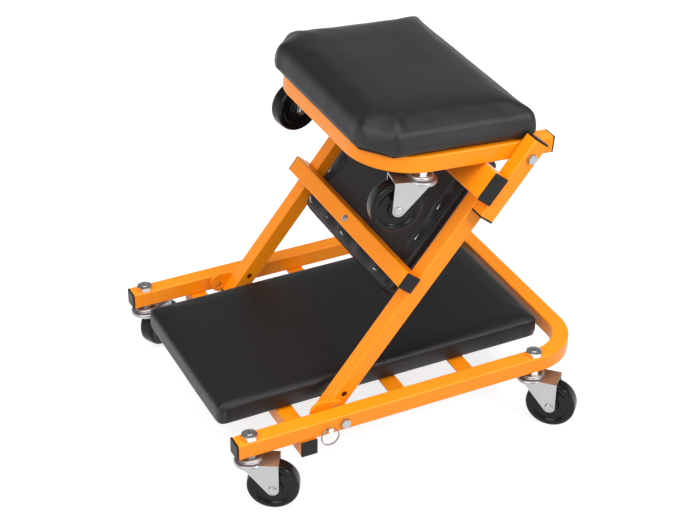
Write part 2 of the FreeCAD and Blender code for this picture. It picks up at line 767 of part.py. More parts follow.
def inset_outline(corners, inset):
    """Move each side of a convex outline inwards; corners run anticlockwise."""
    moved = []
    count = len(corners)
    for i in range(count):
        a, b, c = corners[i - 1], corners[i], corners[(i + 1) % count]
        first = (b - a).normalize()
        second = (c - b).normalize()
        turn = first.x * second.y - first.y * second.x
        moved.append(b + (second - first) * (inset / turn))
    return moved


def rounded_wire(corners, radius):
    """Closed wire of straight sides joined by tangent arcs."""
    edges = []
    count = len(corners)
    arcs = []
    for i in range(count):
        a, b, c = corners[i - 1], corners[i], corners[(i + 1) % count]
        back = (a - b).normalize()
        ahead = (c - b).normalize()
        half = back.getAngle(ahead) / 2
        trim = radius / math.tan(half)
        middle = (back + ahead).normalize() * (radius / math.sin(half) - radius)
        arcs.append((b + back * trim, b + middle, b + ahead * trim))
    for i in range(count):
        edges.append(Part.Arc(*arcs[i]).toShape())
        edges.append(Part.LineSegment(arcs[i][2], arcs[(i + 1) % count][0]).toShape())
    return Part.Wire(edges)


def cushion_rings(prefix):
    """Heights and insets of the pad's rings: quarter ellipses at hem and shoulder, then the crown."""
    belly, edge = value(prefix + "pad_belly"), value(prefix + "pad_edge")
    shoulder, shoulder_in = value(prefix + "pad_shoulder"), value(prefix + "pad_shoulder_inset")
    crown, crown_in = value(prefix + "pad_crown"), value(prefix + "pad_crown_inset")
    rings = []
    for step in range(HEM_STEPS + 1):
        turn = math.pi / 2 * step / HEM_STEPS
        rings.append((belly * math.sin(turn), value(prefix + "pad_drawn_in") * (1 - math.sin(turn))))
    for step in range(SHOULDER_STEPS + 1):
        turn = math.pi / 2 * SHOULDER_SHARE * step / SHOULDER_STEPS
        rise = math.sin(turn) / math.sin(math.pi / 2 * SHOULDER_SHARE)
        run = (1 - math.cos(turn)) / (1 - math.cos(math.pi / 2 * SHOULDER_SHARE))
        rings.append((edge + (shoulder - edge) * rise, shoulder_in * run))
    for step in range(1, CROWN_STEPS + 1):
        share = step / CROWN_STEPS
        rise = 1 - (1 - share) ** 2
        inset = shoulder_in + (crown_in - shoulder_in) * share
        rings.append((shoulder + (crown - shoulder) * rise, inset))
    return rings


def cushion(corners, prefix):
    """Loft from the drawn-in hem, out to the belly and in again to the crown, over the board."""
    wires = []
    for height, inset in cushion_rings(prefix):
        wire = rounded_wire(inset_outline(corners, inset), value("pad_corner"))
        wire.translate(vector(0, 0, height))
        wires.append(wire)
    board = inset_outline(corners, value("board_inset") - value("board_fit"))
    pocket = Part.Face(Part.makePolygon(board + board[:1])).extrude(vector(0, 0, value("board_thickness")))
    return Part.makeLoft(wires, True, True).cut(pocket)


def add_pad(name, shape, placement):
    pad = doc.addObject("Part::Feature", name)
    pad.Shape = shape
    pad.Placement = placement
    node(name, pad)


def rectangle(length, width):
    return [vector(0, -width / 2, 0), vector(length, -width / 2, 0),
            vector(length, width / 2, 0), vector(0, width / 2, 0)]


def make_pads():
    width = value("pad_width")
    level = FreeCAD.Rotation()
    base_at = vector(value("open_x") + value("base_pad_setback"), 0, value("caster_height"))
    base = cushion(rectangle(value("base_pad_length"), width), "")
    add_pad("base_pad", base, FreeCAD.Placement(base_at, level))

    leg = FreeCAD.Rotation(vector(*FOLD_AXIS), value("leg_angle"))
    leg_at = FreeCAD.Placement(vector(value("fold_x"), 0, value("fold_z")), leg)
    turned = FreeCAD.Placement(vector(value("middle_pad_start"), 0, value("half_tube")),
                               FreeCAD.Rotation(vector(1, 0, 0), 180))
    middle = cushion(rectangle(value("middle_pad_length"), width), "")
    add_pad("middle_pad", middle, leg_at.multiply(turned))

    length = value("seat_pad_length")
    half = value("seat_pad_width") / 2
    run = value("seat_pad_corner_run")
    rise = value("seat_pad_corner_rise")
    corners = [vector(0, -half + rise, 0), vector(run, -half, 0), vector(length, -half, 0),
               vector(length, half, 0), vector(run, half, 0), vector(0, half - rise, 0)]
    tilt = FreeCAD.Rotation(vector(*SEAT_AXIS), value("seat_tilt"))
    seat_at = FreeCAD.Placement(vector(value("seat_pivot_x"), 0, value("seat_pivot_z")), tilt)
    front = FreeCAD.Placement(vector(value("seat_front_x"), 0, value("seat_top")), level)
    add_pad("seat_pad", cushion(corners, "seat_"), seat_at.multiply(front))


def export_nodes():
    doc.recompute()
    failed = [obj.Label for obj in doc.Objects if "Invalid" in obj.State or "Error" in obj.State]
    if failed:
        raise RuntimeError("objects that did not recompute: " + ", ".join(failed))
    os.makedirs("parts", exist_ok=True)
    for name, obj in nodes.items():
        if obj.Shape.isNull() or not obj.Shape.isValid() or not obj.Shape.Solids:
            raise RuntimeError("no valid solid in " + name)
    for name, obj in nodes.items():
        obj.Shape.exportStep(f"parts/{name}.step")
    print(len(nodes), "nodes written")


make_base_frame()
make_base_cross_members()
make_base_pad()
make_fold_pivots()
make_legs()
make_lock_plates()
make_middle_frame()
make_seat_pivots()
make_seat_frame()
make_seat_board()
make_lock_pins()
make_caster_fixings("base", BASE_CASTERS, "(tube + washer_thickness)", True)
make_caster_fixings("seat", SEAT_CASTERS, "tube_wall", False)
make_casters()
make_pads()
export_nodes()
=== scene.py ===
"""Folding mechanic creeper: finishes, cushions and small hardware around the packed frame.

Everything is in metres, in the frame of the packed part: +Z up, -X towards the open end of the base.
"""

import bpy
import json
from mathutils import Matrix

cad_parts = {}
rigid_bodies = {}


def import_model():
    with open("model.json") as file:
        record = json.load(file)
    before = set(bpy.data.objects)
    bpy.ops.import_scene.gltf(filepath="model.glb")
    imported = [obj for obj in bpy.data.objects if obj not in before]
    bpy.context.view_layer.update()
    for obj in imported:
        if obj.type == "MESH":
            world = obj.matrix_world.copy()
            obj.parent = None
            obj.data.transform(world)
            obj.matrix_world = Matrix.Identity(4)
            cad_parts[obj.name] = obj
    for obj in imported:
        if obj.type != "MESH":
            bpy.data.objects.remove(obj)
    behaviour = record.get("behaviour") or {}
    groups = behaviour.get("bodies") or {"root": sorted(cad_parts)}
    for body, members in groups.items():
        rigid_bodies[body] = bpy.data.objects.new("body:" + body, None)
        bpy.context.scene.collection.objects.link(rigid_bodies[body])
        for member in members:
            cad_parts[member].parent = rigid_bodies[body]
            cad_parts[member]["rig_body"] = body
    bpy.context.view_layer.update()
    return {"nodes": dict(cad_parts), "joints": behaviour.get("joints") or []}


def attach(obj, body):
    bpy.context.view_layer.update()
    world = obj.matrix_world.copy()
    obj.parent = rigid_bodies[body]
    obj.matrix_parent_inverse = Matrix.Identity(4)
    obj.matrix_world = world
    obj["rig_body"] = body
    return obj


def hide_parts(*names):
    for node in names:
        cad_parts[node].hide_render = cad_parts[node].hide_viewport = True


bl_info = {
    "name": "Folding mechanic creeper",
    "version": (1, 0, 0),
    "blender": (4, 5, 0),
    "location": "View3D > Sidebar > Creeper",
    "description": "Dresses the frame of a folding mechanic creeper with its finishes, pads and hardware",
    "category": "Object",
}

import json
import math
from collections.abc import Callable
from dataclasses import dataclass
from functools import cached_property

import bmesh
import bpy
import numpy as np
from bpy.props import FloatProperty, FloatVectorProperty, IntProperty, PointerProperty
from mathutils import Matrix, Vector, noise
from mathutils.bvhtree import BVHTree

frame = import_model()
JOINTS = {joint["name"]: joint for joint in frame["joints"]}
CASTERS = [name[:-len("_roll")] for name in JOINTS if name.endswith("_roll")]
MM = 0.001
UP = Vector((0, 0, 1))
ACROSS = Vector((0, 1, 0))
IDENTITY = Matrix.Identity(4)
FULL_TURN = 2 * math.pi
QUARTER_TURN = math.pi / 2
MERGE_DISTANCE = 1e-6
FLAT_ANGLE = math.radians(0.6)


# Places read from the frame

def joint_place(name):
    return Vector(JOINTS[name]["pos_m"])


def axes_matrix(x, y, z, origin):
    """Matrix that takes local x, y and z to the given directions at an origin."""
    return Matrix([[x[i], y[i], z[i], origin[i]] for i in range(3)] + [[0, 0, 0, 1]])


def facing_matrix(origin, facing, turn=0.0):
    """Matrix whose local z points along facing, turned about it."""
    spin = Vector(facing).to_track_quat("Z", "Y").to_matrix().to_4x4()
    return Matrix.Translation(origin) @ spin @ Matrix.Rotation(turn, 4, "Z")


def extent(node, place=IDENTITY):
    """Lowest and highest corner of a node in the local frame of a place."""
    back = place.inverted()
    points = np.array([back @ v.co for v in frame["nodes"][node].data.vertices])
    return Vector(points.min(0)), Vector(points.max(0))


def copied(node):
    """Copy of a node's mesh with its loose triangles merged and its flat faces joined."""
    mesh = bmesh.new()
    mesh.from_mesh(frame["nodes"][node].data)
    bmesh.ops.remove_doubles(mesh, verts=mesh.verts, dist=MERGE_DISTANCE)
    bmesh.ops.dissolve_limit(mesh, angle_limit=FLAT_ANGLE, verts=mesh.verts, edges=mesh.edges)
    return mesh


def islands(node, place=IDENTITY):
    """Lowest and highest corner of each separate solid of a node, in the local frame of a place."""
    mesh = copied(node)
    back = place.inverted()
    left = set(mesh.verts)
    boxes = []
    while left:
        found = [left.pop()]
        for vertex in found:
            for edge in vertex.link_edges:
                other = edge.other_vert(vertex)
                if other in left:
                    left.remove(other)
                    found.append(other)
        points = np.array([back @ v.co for v in found])
        boxes.append((Vector(points.min(0)), Vector(points.max(0))))
    mesh.free()
    return sorted(boxes, key=lambda box: tuple(round(c, 5) for c in box[0]))


def footing(ground, low, high):
    """Frame at the middle of a box's foot, where the box stands in a ground frame."""
    return ground @ Matrix.Translation(((low.x + high.x) / 2, (low.y + high.y) / 2, low.z))


FOLD = joint_place("middle_fold")
SEAT_PIVOT = joint_place("seat_fold")
ALONG = (SEAT_PIVOT - FOLD).normalized()
LEG_FRAME = axes_matrix(ALONG, ACROSS, ALONG.cross(ACROSS), FOLD)
SEAT_UP = Vector(JOINTS["seat_left_swivel"]["axis"])
SEAT_FRAME = axes_matrix(ACROSS.cross(SEAT_UP), ACROSS, SEAT_UP, SEAT_PIVOT)


# Sizes and colours that a user would change

def millimetres(name, description, default):
    return FloatProperty(name=name, description=description, unit="LENGTH", default=default * MM)


def setting(name, description, default, unit="NONE"):
    return FloatProperty(name=name, description=description, unit=unit, default=default)


def tint(name, description, *default):
    return FloatVectorProperty(name=name, description=description, subtype="COLOR", default=default)


class CreeperColours(bpy.types.PropertyGroup):
    """Colours of the finishes"""
    paint: tint("Paint", "Powder coat of the tubes", 0.97, 0.285, 0.004)
    paint_deep: tint("Deep paint", "Powder coat where it lies thick", 0.94, 0.255, 0.002)
    vinyl: tint("Vinyl", "Cover of the pads", 0.0055, 0.0055, 0.0058)
    lining: tint("Lining", "Cloth under the pads", 0.012, 0.012, 0.0125)
    zinc: tint("Zinc", "Plate of forks and fasteners", 0.48, 0.485, 0.495)
    nickel: tint("Nickel", "Plate of pins, staples and caster nuts", 0.8, 0.8, 0.81)
    wire: tint("Wire", "Spring wire of the pull rings", 0.3, 0.3, 0.305)
    wheel: tint("Wheel", "Moulded wheels", 0.007, 0.007, 0.0073)
    cap: tint("Cap", "Moulded tube caps", 0.0105, 0.0106, 0.011)


class CreeperPads(bpy.types.PropertyGroup):
    """Sizes of the pads"""
    voxel: millimetres("Voxel", "Mesh size of the cover before it swells", 4.5)
    pressure: setting("Pressure", "Push of the foam on its cover", 4.0)
    frames: IntProperty(name="Frames", description="Steps of the swelling", default=20)
    swell: millimetres("Swell", "Farthest that the seat's cover moves", 4)
    flat_swell: millimetres("Flat swell", "Farthest that the cover of a flat pad moves", 1.2)
    held_height: millimetres("Held height", "Height up to which the board holds the cover", 6)
    underside: millimetres("Underside", "Height of the pad's bottom over its seat", 1.6)
    corner: millimetres("Corner", "Radius of the pads' corners", 12)
    hem: millimetres("Hem", "Width of the cover folded under the board", 20)
    hem_start: millimetres("Hem start", "Distance of the hem from the pad's edge", 7)
    hem_puff: millimetres("Hem puff", "Rise of the hem where nothing presses on it", 2.5)
    staple_pitch: millimetres("Staple pitch", "Distance between staples", 56)
    staple: millimetres("Staple", "Length of a staple's crown", 11)
    staple_wire: millimetres("Staple wire", "Half the width of a staple's wire", 1.1)
    overhang: millimetres("Overhang", "How far the seat's cover bulges past its frame", 9.5)
    loft: millimetres("Loft", "Rise of the seat's cover over its plain cushion", 5)
    rear_let_out: millimetres("Rear let out", "Slack of the seat's cover at its rear", 1)
    lower_let_out: millimetres("Lower let out", "Slack of the middle pad's lower end", 8)
    closed_let_out: millimetres("Closed let out", "Slack of the base pad at the closed end", 6)
    open_let_out: millimetres("Open let out", "Slack of the base pad at the open end", 3)
    seam: millimetres("Seam", "Half the width of the seat's welted seams", 0.7)
    corner_run: millimetres("Corner run", "Length of the seat's cut-off corners", 38)
    corner_rise: millimetres("Corner rise", "Width of the seat's cut-off corners", 43)


class CreeperHardware(bpy.types.PropertyGroup):
    """Sizes of the hardware"""
    tube_round: millimetres("Tube round", "Corner radius of the square tube", 2.4)
    edge_round: millimetres("Edge round", "Broken edge of pressed and moulded pieces", 0.6)
    cap_round: millimetres("Cap round", "Round of the tube caps", 1.5)
    wheel_round: millimetres("Wheel round", "Round of the wheel's edges", 3)
    wheel_width: millimetres("Wheel width", "Width of the wheel's rim", 24)
    wheel_recess: millimetres("Wheel recess", "Depth of the web below the rim", 4)
    rim_inner: millimetres("Rim inside", "Radius of the step inside the rim", 28.5)
    hub_radius: millimetres("Hub", "Radius of the wheel's hub", 13)
    axle_bore: millimetres("Axle", "Radius of the axle", 4)
    rivet_rise: millimetres("Rivet rise", "Height of the axle's riveted heads", 2.6)
    stem: millimetres("Stem", "Radius of the caster stems", 5)
    stud_head: millimetres("Stem head", "Height of the stem's head", 4)
    nut_hex_share: setting("Nut hexagon", "Share of a lock nut that is hexagonal", 0.68)
    bolt: millimetres("Bolt", "Radius of the pivot bolts", 4)
    bolt_head: millimetres("Bolt head", "Height of the bolt heads", 5.3)
    ring_wire: millimetres("Ring wire", "Half the wire of the split rings", 0.75)
    screw_head: millimetres("Screw head", "Radius of the pad screws' heads", 5)
    screw_rise: millimetres("Screw rise", "Height of the pad screws' heads", 2.6)


class CreeperStage(bpy.types.PropertyGroup):
    """Camera, light and floor"""
    azimuth: setting("Azimuth", "Camera's turn about the object in degrees", -25.87)
    elevation: setting("Elevation", "Camera's height in degrees", 32.95)
    roll: setting("Roll", "Camera's tilt in degrees", 0.29)
    lens: setting("Lens", "Focal length in millimetres", 89.215, "CAMERA")
    distance: setting("Distance", "Camera to target", 2.54827, "LENGTH")
    target: FloatVectorProperty(name="Target", description="Point that the camera looks at", unit="LENGTH",
                                default=(-0.039, 0, 0.217))
    shift: FloatVectorProperty(name="Shift", description="Lens shift", size=2, default=(0.0287, 0.0031))
    floor: tint("Floor", "Colour of the floor in the lamps' light", 0.399, 0.399, 0.399)
    floor_glow: setting("Floor glow", "Light of the floor's own towards the camera", 0.75)
    ambient: setting("Ambient", "Strength of the light from all round", 0.66)
    ceiling: setting("Ceiling", "Strength of the dim room over the pale backdrop", 0.16)
    front_light: setting("Front light", "Power of the softbox beside the camera", 34, "POWER")
    top_light: setting("Top light", "Power of the softbox overhead", 32, "POWER")
    side_light: setting("Side light", "Power of the softbox at the right", 25, "POWER")


GROUPS = {
    "creeper_colours": CreeperColours,
    "creeper_pads": CreeperPads,
    "creeper_hardware": CreeperHardware,
    "creeper_stage": CreeperStage,
}


# Node trees written as expressions

class Term:
    """A value in a node tree that takes part in arithmetic; each operation adds one Math node."""

    def __init__(self, nodes, socket):
        self.nodes = nodes
        self.socket = socket

    def beside(self, output):
        """Another output of the same node."""
        return Term(self.nodes, self.socket.node.outputs[output])

    def math(self, operation, first, second):
        return self.nodes.node("ShaderNodeMath", {"operation": operation}, {0: first, 1: second})

    def __add__(self, other):
        return self.math("ADD", self, other)

    def __sub__(self, other):
        return self.math("SUBTRACT", self, other)

    def __rsub__(self, other):
        return self.math("SUBTRACT", other, self)

    def __mul__(self, other):
        return self.math("MULTIPLY", self, other)

    __radd__ = __add__
    __rmul__ = __mul__


class Nodes:
    """Builds the nodes of one tree."""

    def __init__(self, tree):
        self.tree = tree

    def node(self, kind, settings=None, inputs=None, output=0):
        """One output of a new node, whose settings are made before its inputs are set or linked."""
        made = self.tree.nodes.new(kind)
        for key, value in (settings or {}).items():
            if key == "stops":
                for element, (position, grey) in zip(made.color_ramp.elements, value):
                    element.position = position
                    element.color = (grey, grey, grey, 1)
            else:
                setattr(made, key, value)
        for key, given in (inputs or {}).items():
            if isinstance(given, Term):
                self.tree.links.new(given.socket, made.inputs[key])
            else:
                made.inputs[key].default_value = given
        return Term(self, made.outputs[output]) if made.outputs else None


class Look(Nodes):
    """Builds the nodes of one material or of the world."""

    def __init__(self, owner):
        owner.use_nodes = True
        owner.node_tree.nodes.clear()
        super().__init__(owner.node_tree)
        self.owner = owner

    @cached_property
    def place(self):
        return self.node("ShaderNodeTexCoord", output="Object")

    def noise(self, scale, detail):
        """Cloudy field from zero to one, with a number of features to the metre."""
        inputs = {"Vector": self.place, "Scale": scale, "Detail": detail}
        return self.node("ShaderNodeTexNoise", {}, inputs)

    def cells(self, scale, feature="DISTANCE_TO_EDGE"):
        inputs = {"Vector": self.place, "Scale": scale}
        return self.node("ShaderNodeTexVoronoi", {"feature": feature}, inputs, "Distance")

    def ramp(self, value, low, high):
        """Spread the part of a value between low and high over zero to one."""
        stops = {"stops": [(low, 0), (high, 1)]}
        return self.node("ShaderNodeValToRGB", stops, {"Fac": value})

    def mix(self, factor, first, second):
        inputs = {0: factor, 6: (*first, 1), 7: (*second, 1)}
        return self.node("ShaderNodeMix", {"data_type": "RGBA"}, inputs, 2)

    def tone(self, factor, colour, low, high):
        """Colour that varies between two shares of itself."""
        return self.mix(factor, [c * low for c in colour], [c * high for c in colour])

    def bump(self, height, strength, distance):
        inputs = {"Height": height, "Strength": strength, "Distance": distance}
        return self.node("ShaderNodeBump", {}, inputs)

    def finish(self, **inputs):
        """Surface from values named as the shader's sockets, with underscores for spaces."""
        named = {key.replace("_", " "): given for key, given in inputs.items()}
        shader = self.node("ShaderNodeBsdfPrincipled", {}, named)
        self.node("ShaderNodeOutputMaterial", {}, {"Surface": shader})
        return self.owner


# Finishes

def new_look(name):
    return Look(bpy.data.materials.new(name))


def paint_look(colours):
    look = new_look("orange_powder_coat")
    cloud = look.noise(11.0, 3.0)
    peel = look.noise(900.0, 2.0)
    pits = look.noise(5200.0, 1.0)
    return look.finish(
        Base_Color=look.mix(cloud, colours.paint_deep, colours.paint),
        Roughness=0.25 + 0.13 * cloud + 0.05 * peel,
        Normal=look.bump(peel + 0.25 * pits, 0.10, 0.3 * MM),
        Specular_IOR_Level=0.3,
        Coat_Weight=0.05,
        Coat_Roughness=0.12,
    )


def vinyl_look(colours):
    look = new_look("black_grained_vinyl")
    grain = look.ramp(look.cells(560.0), 0.0, 0.28)
    fine = look.noise(2400.0, 3.0)
    rub = look.noise(16.0, 4.0)
    return look.finish(
        Base_Color=look.tone(rub, colours.vinyl, 0.8, 1.25),
        Roughness=0.34 + 0.12 * rub + 0.08 * fine,
        Normal=look.bump(grain + 0.5 * fine, 0.26, 0.35 * MM),
        Specular_IOR_Level=0.44,
    )


def lining_look(colours):
    look = new_look("black_lining_cloth")
    dimple = look.cells(900.0, "F1")
    fibre = look.noise(3600.0, 4.0)
    fade = look.noise(24.0, 3.0)
    return look.finish(
        Base_Color=look.tone(fade, colours.lining, 0.8, 1.35),
        Roughness=0.62 + 0.2 * fibre,
        Normal=look.bump(dimple + fibre, 0.35, 0.3 * MM),
        Sheen_Weight=0.08,
    )


def zinc_look(colours):
    look = new_look("zinc_plate")
    mottle = look.noise(70.0, 4.0)
    grit = look.noise(1900.0, 2.0)
    return look.finish(
        Base_Color=look.tone(mottle, colours.zinc, 0.86, 1),
        Metallic=1.0,
        Roughness=0.26 + 0.16 * mottle + 0.05 * grit,
        Normal=look.bump(grit, 0.08, 0.15 * MM),
    )


def nickel_look(colours):
    look = new_look("bright_nickel")
    haze = look.noise(160.0, 3.0)
    return look.finish(
        Base_Color=look.tone(haze, colours.nickel, 0.9, 1),
        Metallic=1.0,
        Roughness=0.18 + 0.14 * haze,
        Normal=look.bump(look.noise(1400.0, 2.0), 0.05, 0.1 * MM),
    )


def wire_look(colours):
    look = new_look("spring_wire")
    streak = look.noise(420.0, 3.0)
    return look.finish(
        Base_Color=look.tone(streak, colours.wire, 0.8, 1),
        Metallic=1.0,
        Roughness=0.2 + 0.14 * streak,
        Normal=look.bump(streak, 0.05, 0.1 * MM),
    )


def wheel_look(colours):
    look = new_look("gloss_black_wheel")
    flow = look.noise(60.0, 3.0)
    fine = look.noise(1500.0, 2.0)
    return look.finish(
        Base_Color=look.tone(flow, colours.wheel, 0.8, 1.3),
        Roughness=0.16 + 0.12 * flow,
        Normal=look.bump(fine, 0.07, 0.2 * MM),
        Specular_IOR_Level=0.2,
    )


def cap_look(colours):
    look = new_look("black_moulded_cap")
    fine = look.noise(2600.0, 2.0)
    flow = look.noise(90.0, 2.0)
    return look.finish(
        Base_Color=look.tone(flow, colours.cap, 0.85, 1.2),
        Roughness=0.36 + 0.14 * fine,
        Normal=look.bump(fine, 0.16, 0.2 * MM),
        Specular_IOR_Level=0.2,
    )


LOOKS = {
    "orange_paint": paint_look,
    "black_vinyl": vinyl_look,
    "lining": lining_look,
    "zinc": zinc_look,
    "bright_steel": nickel_look,
    "spring_wire": wire_look,
    "wheel_plastic": wheel_look,
    "cap_plastic": cap_look,
}
made_looks = {}


def look_of(name):
    if name not in made_looks:
        made_looks[name] = LOOKS[name](bpy.context.scene.creeper_colours)
    return made_looks[name]


# Mesh building

SMOOTH_ANGLE = math.radians(34)
BEVEL_ANGLE = math.radians(50)


def new_object(name, data):
    made = bpy.data.objects.new(name, data)
    bpy.context.scene.collection.objects.link(made)
    return made


def remove(*objects):
    for each in objects:
        bpy.data.objects.remove(each)


def add_piece(name, mesh, body, look, replaced=()):
    """Finished piece at the origin that rides on a body and stands for the replaced nodes."""
    mesh.polygons.foreach_set("use_smooth", [True] * len(mesh.polygons))
    mesh.set_sharp_from_angle(angle=SMOOTH_ANGLE)
    mesh.materials.clear()
    mesh.materials.append(look_of(look))
    piece = new_object(name, mesh)
    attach(piece, body)
    if replaced:
        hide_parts(*replaced)
    return piece


def stand_in(node, name, mesh, look):
    """Piece that stands for a node, on the node's own body and with the finish it is given."""
    return add_piece(name, mesh, frame["nodes"][node]["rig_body"], look, [node])


def evaluated_mesh(source):
    """Plain mesh of an object with its modifiers applied."""
    source = source.evaluated_get(bpy.context.evaluated_depsgraph_get())
    return bpy.data.meshes.new_from_object(source)


def modified(mesh, kind, **settings):
    """Plain mesh with one modifier applied."""
    source = new_object("work", mesh)
    modifier = source.modifiers.new("Work", kind)
    for key, value in settings.items():
        setattr(modifier, key, value)
    made = evaluated_mesh(source)
    remove(source)
    return made


def softened(node, width, look, segments=2, chosen=None):
    """Piece that stands for a node, with the edges that are chosen rounded and its wide faces kept flat."""
    mesh = copied(node)
    edges = []
    for edge in mesh.edges:
        if edge.is_manifold and edge.is_convex and edge.calc_face_angle() > BEVEL_ANGLE:
            if chosen is None or chosen(edge):
                edges.append(edge)
    bmesh.ops.bevel(mesh, geom=edges, offset=width, segments=segments, profile=0.5, affect="EDGES",
                    clamp_overlap=True)
    name = f"{node}_finished"
    built = bpy.data.meshes.new(name)
    mesh.to_mesh(built)
    mesh.free()
    piece = stand_in(node, name, built, look)
    piece.modifiers.new("Even shading", "WEIGHTED_NORMAL").keep_sharp = True


def join_meshes(name, meshes):
    """One mesh from several, which are removed."""
    work = bmesh.new()
    for mesh in meshes:
        work.from_mesh(mesh)
        bpy.data.meshes.remove(mesh)
    joined = bpy.data.meshes.new(name)
    work.to_mesh(joined)
    work.free()
    return joined


def turns(count):
    """Angles of a full turn in equal steps."""
    return [FULL_TURN * i / count for i in range(count)]


class Forge:
    """Gathers the points and faces of one piece."""

    def __init__(self):
        self.points = []
        self.faces = []

    def loft(self, rings, place=IDENTITY, closed=False):
        """Skin over rings of equally many points; the ends get faces unless the rings close."""
        count = len(rings[0])
        faces = []
        steps = len(rings) if closed else len(rings) - 1
        for i in range(steps):
            a = i * count
            b = (i + 1) % len(rings) * count
            for j in range(count):
                k = (j + 1) % count
                faces.append([a + j, a + k, b + k, b + j])
        if not closed:
            faces.append(list(range(count))[::-1])
            faces.append(list(range((len(rings) - 1) * count, len(rings) * count)))
        start = len(self.points)
        self.points += [place @ Vector(point) for ring in rings for point in ring]
        self.faces += [[start + i for i in face] for face in faces]

    def lathe(self, profile, place=IDENTITY, segments=48, closed=False):
        """Turn a profile of radius and height about local z."""
        rings = []
        for radius, height in profile:
            rings.append([(radius * math.cos(t), radius * math.sin(t), height) for t in turns(segments)])
        self.loft(rings, place, closed)

    def hexagon(self, across, height, place=IDENTITY, bore=0.0, both_ends=False, segments=48):
        """Bolt head or nut with the curved chamfer that turning leaves on its corners."""
        flat = across / 2
        face = flat * 0.94
        chamfer_from = flat * 0.97
        slope = 0.6
        side = math.pi / 3
        reaches = [flat / math.cos((t + side / 2) % side - side / 2) for t in turns(segments)]

        def hexed(z, fall):
            return [(r * math.cos(t), r * math.sin(t), z - fall * max(0.0, r - chamfer_from))
                    for t, r in zip(turns(segments), reaches)]

        def circle(z, r):
            return [(r * math.cos(t), r * math.sin(t), z) for t in turns(segments)]
        rings = [circle(0, face), hexed(0, -slope)] if both_ends else [hexed(0, 0)]
        rings += [hexed(height, slope), circle(height, face)]
        if bore:
            rings += [circle(height, bore), circle(0, bore)]
        self.loft(rings, place, closed=bool(bore))

    def tube(self, path, radius, sides=10):
        """Round wire along a list of points, with closed ends."""
        rings = []
        for i, point in enumerate(path):
            ahead = (path[min(i + 1, len(path) - 1)] - path[max(i - 1, 0)]).normalized()
            side = ahead.orthogonal() if i == 0 else side - ahead * side.dot(ahead)
            side.normalize()
            up = ahead.cross(side)
            rings.append([point + (side * math.cos(t) + up * math.sin(t)) * radius for t in turns(sides)])
        self.loft(rings)

    def mesh(self, name):
        built = bpy.data.meshes.new(name)
        built.from_pydata(self.points, [], self.faces)
        work = bmesh.new()
        work.from_mesh(built)
        bmesh.ops.remove_doubles(work, verts=work.verts, dist=MERGE_DISTANCE)
        bmesh.ops.recalc_face_normals(work, faces=work.faces)
        work.to_mesh(built)
        work.free()
        return built


def lofted(name, rings, place=IDENTITY, closed=False):
    forge = Forge()
    forge.loft(rings, place, closed)
    return forge.mesh(name)


def rounded_profile(corners, radius, steps=4):
    """Profile whose inner corners are rounded; the first and last points stay."""
    most = 0.48
    profile = [corners[0]]
    for before, corner, after in zip(corners, corners[1:], corners[2:]):
        corner = Vector(corner)
        back = Vector(before) - corner
        ahead = Vector(after) - corner
        reach = min(radius, back.length * most, ahead.length * most)
        start = corner + back.normalized() * reach
        end = corner + ahead.normalized() * reach
        for i in range(steps + 1):
            share = i / steps
            profile.append(tuple(start.lerp(corner, share).lerp(corner.lerp(end, share), share)))
    profile.append(corners[-1])
    return profile


# Repeats: one tree that sets a piece along a path or on points

REPEAT_INPUTS = {
    "Geometry": "Geometry",
    "Piece": "Object",
    "Facing": "Vector",
    "Pitch": "Float",
    "Jitter": "Float",
    "Seed": "Int",
    "Finish": "Material",
}


def repeat_tree(name, along_path):
    """Node tree with named inputs for the piece, the way it faces, its pitch, jitter and seed."""
    tree = bpy.data.node_groups.new(name, "GeometryNodeTree")
    tree.interface.new_socket("Geometry", in_out="OUTPUT", socket_type="NodeSocketGeometry")
    for label, kind in REPEAT_INPUTS.items():
        tree.interface.new_socket(label, in_out="INPUT", socket_type=f"NodeSocket{kind}")
    node = Nodes(tree).node
    points = node("NodeGroupInput", output="Geometry")
    given = points.beside
    turned = node("FunctionNodeAlignRotationToVector", {"axis": "Z"}, {"Vector": given("Facing")})
    if along_path:
        curve = node("GeometryNodeMeshToCurve", {}, {0: points})
        spread = {"Curve": curve, "Length": given("Pitch")}
        points = node("GeometryNodeCurveToPoints", {"mode": "LENGTH"}, spread, "Points")
        follow = {"Rotation": turned, "Vector": points.beside("Tangent")}
        turned = node("FunctionNodeAlignRotationToVector", {"axis": "X", "pivot_axis": "Z"}, follow)
    between = {2: given("Jitter") * -1, 3: given("Jitter"), "Seed": given("Seed")}
    chance = node("FunctionNodeRandomValue", {"data_type": "FLOAT"}, between, 1)
    twist = node("FunctionNodeAxisAngleToRotation", {}, {"Axis": UP, "Angle": chance})
    both = {"Rotation": turned, "Rotate By": twist}
    rotation = node("FunctionNodeRotateRotation", {"rotation_space": "LOCAL"}, both)
    piece = node("GeometryNodeObjectInfo", {}, {"Object": given("Piece")}, "Geometry")
    placed = {"Points": points, "Instance": piece, "Rotation": rotation}
    instances = node("GeometryNodeInstanceOnPoints", {}, placed)
    real = node("GeometryNodeRealizeInstances", {}, {0: instances})
    coated = node("GeometryNodeSetMaterial", {}, {"Geometry": real, "Material": given("Finish")})
    node("NodeGroupOutput", {}, {0: coated})
    return tree


def repeated_mesh(tree, points, edges, **inputs):
    """Plain mesh of a piece repeated on points, or along the edges between them."""
    carrier = bpy.data.meshes.new("carrier")
    carrier.from_pydata(points, edges, [])
    source = new_object("carrier", carrier)
    modifier = source.modifiers.new("Repeat", "NODES")
    modifier.node_group = tree
    for item in tree.interface.items_tree:
        if item.in_out == "INPUT" and item.name in inputs:
            modifier[item.identifier] = inputs[item.name]
    mesh = evaluated_mesh(source)
    remove(source)
    return mesh


# Steps of the build

class Step:
    """Operator that makes its pieces from one group of settings."""
    group = "creeper_hardware"

    def execute(self, context):
        self.make(getattr(context.scene, self.group))
        return {"FINISHED"}


# Frame tubes and plates

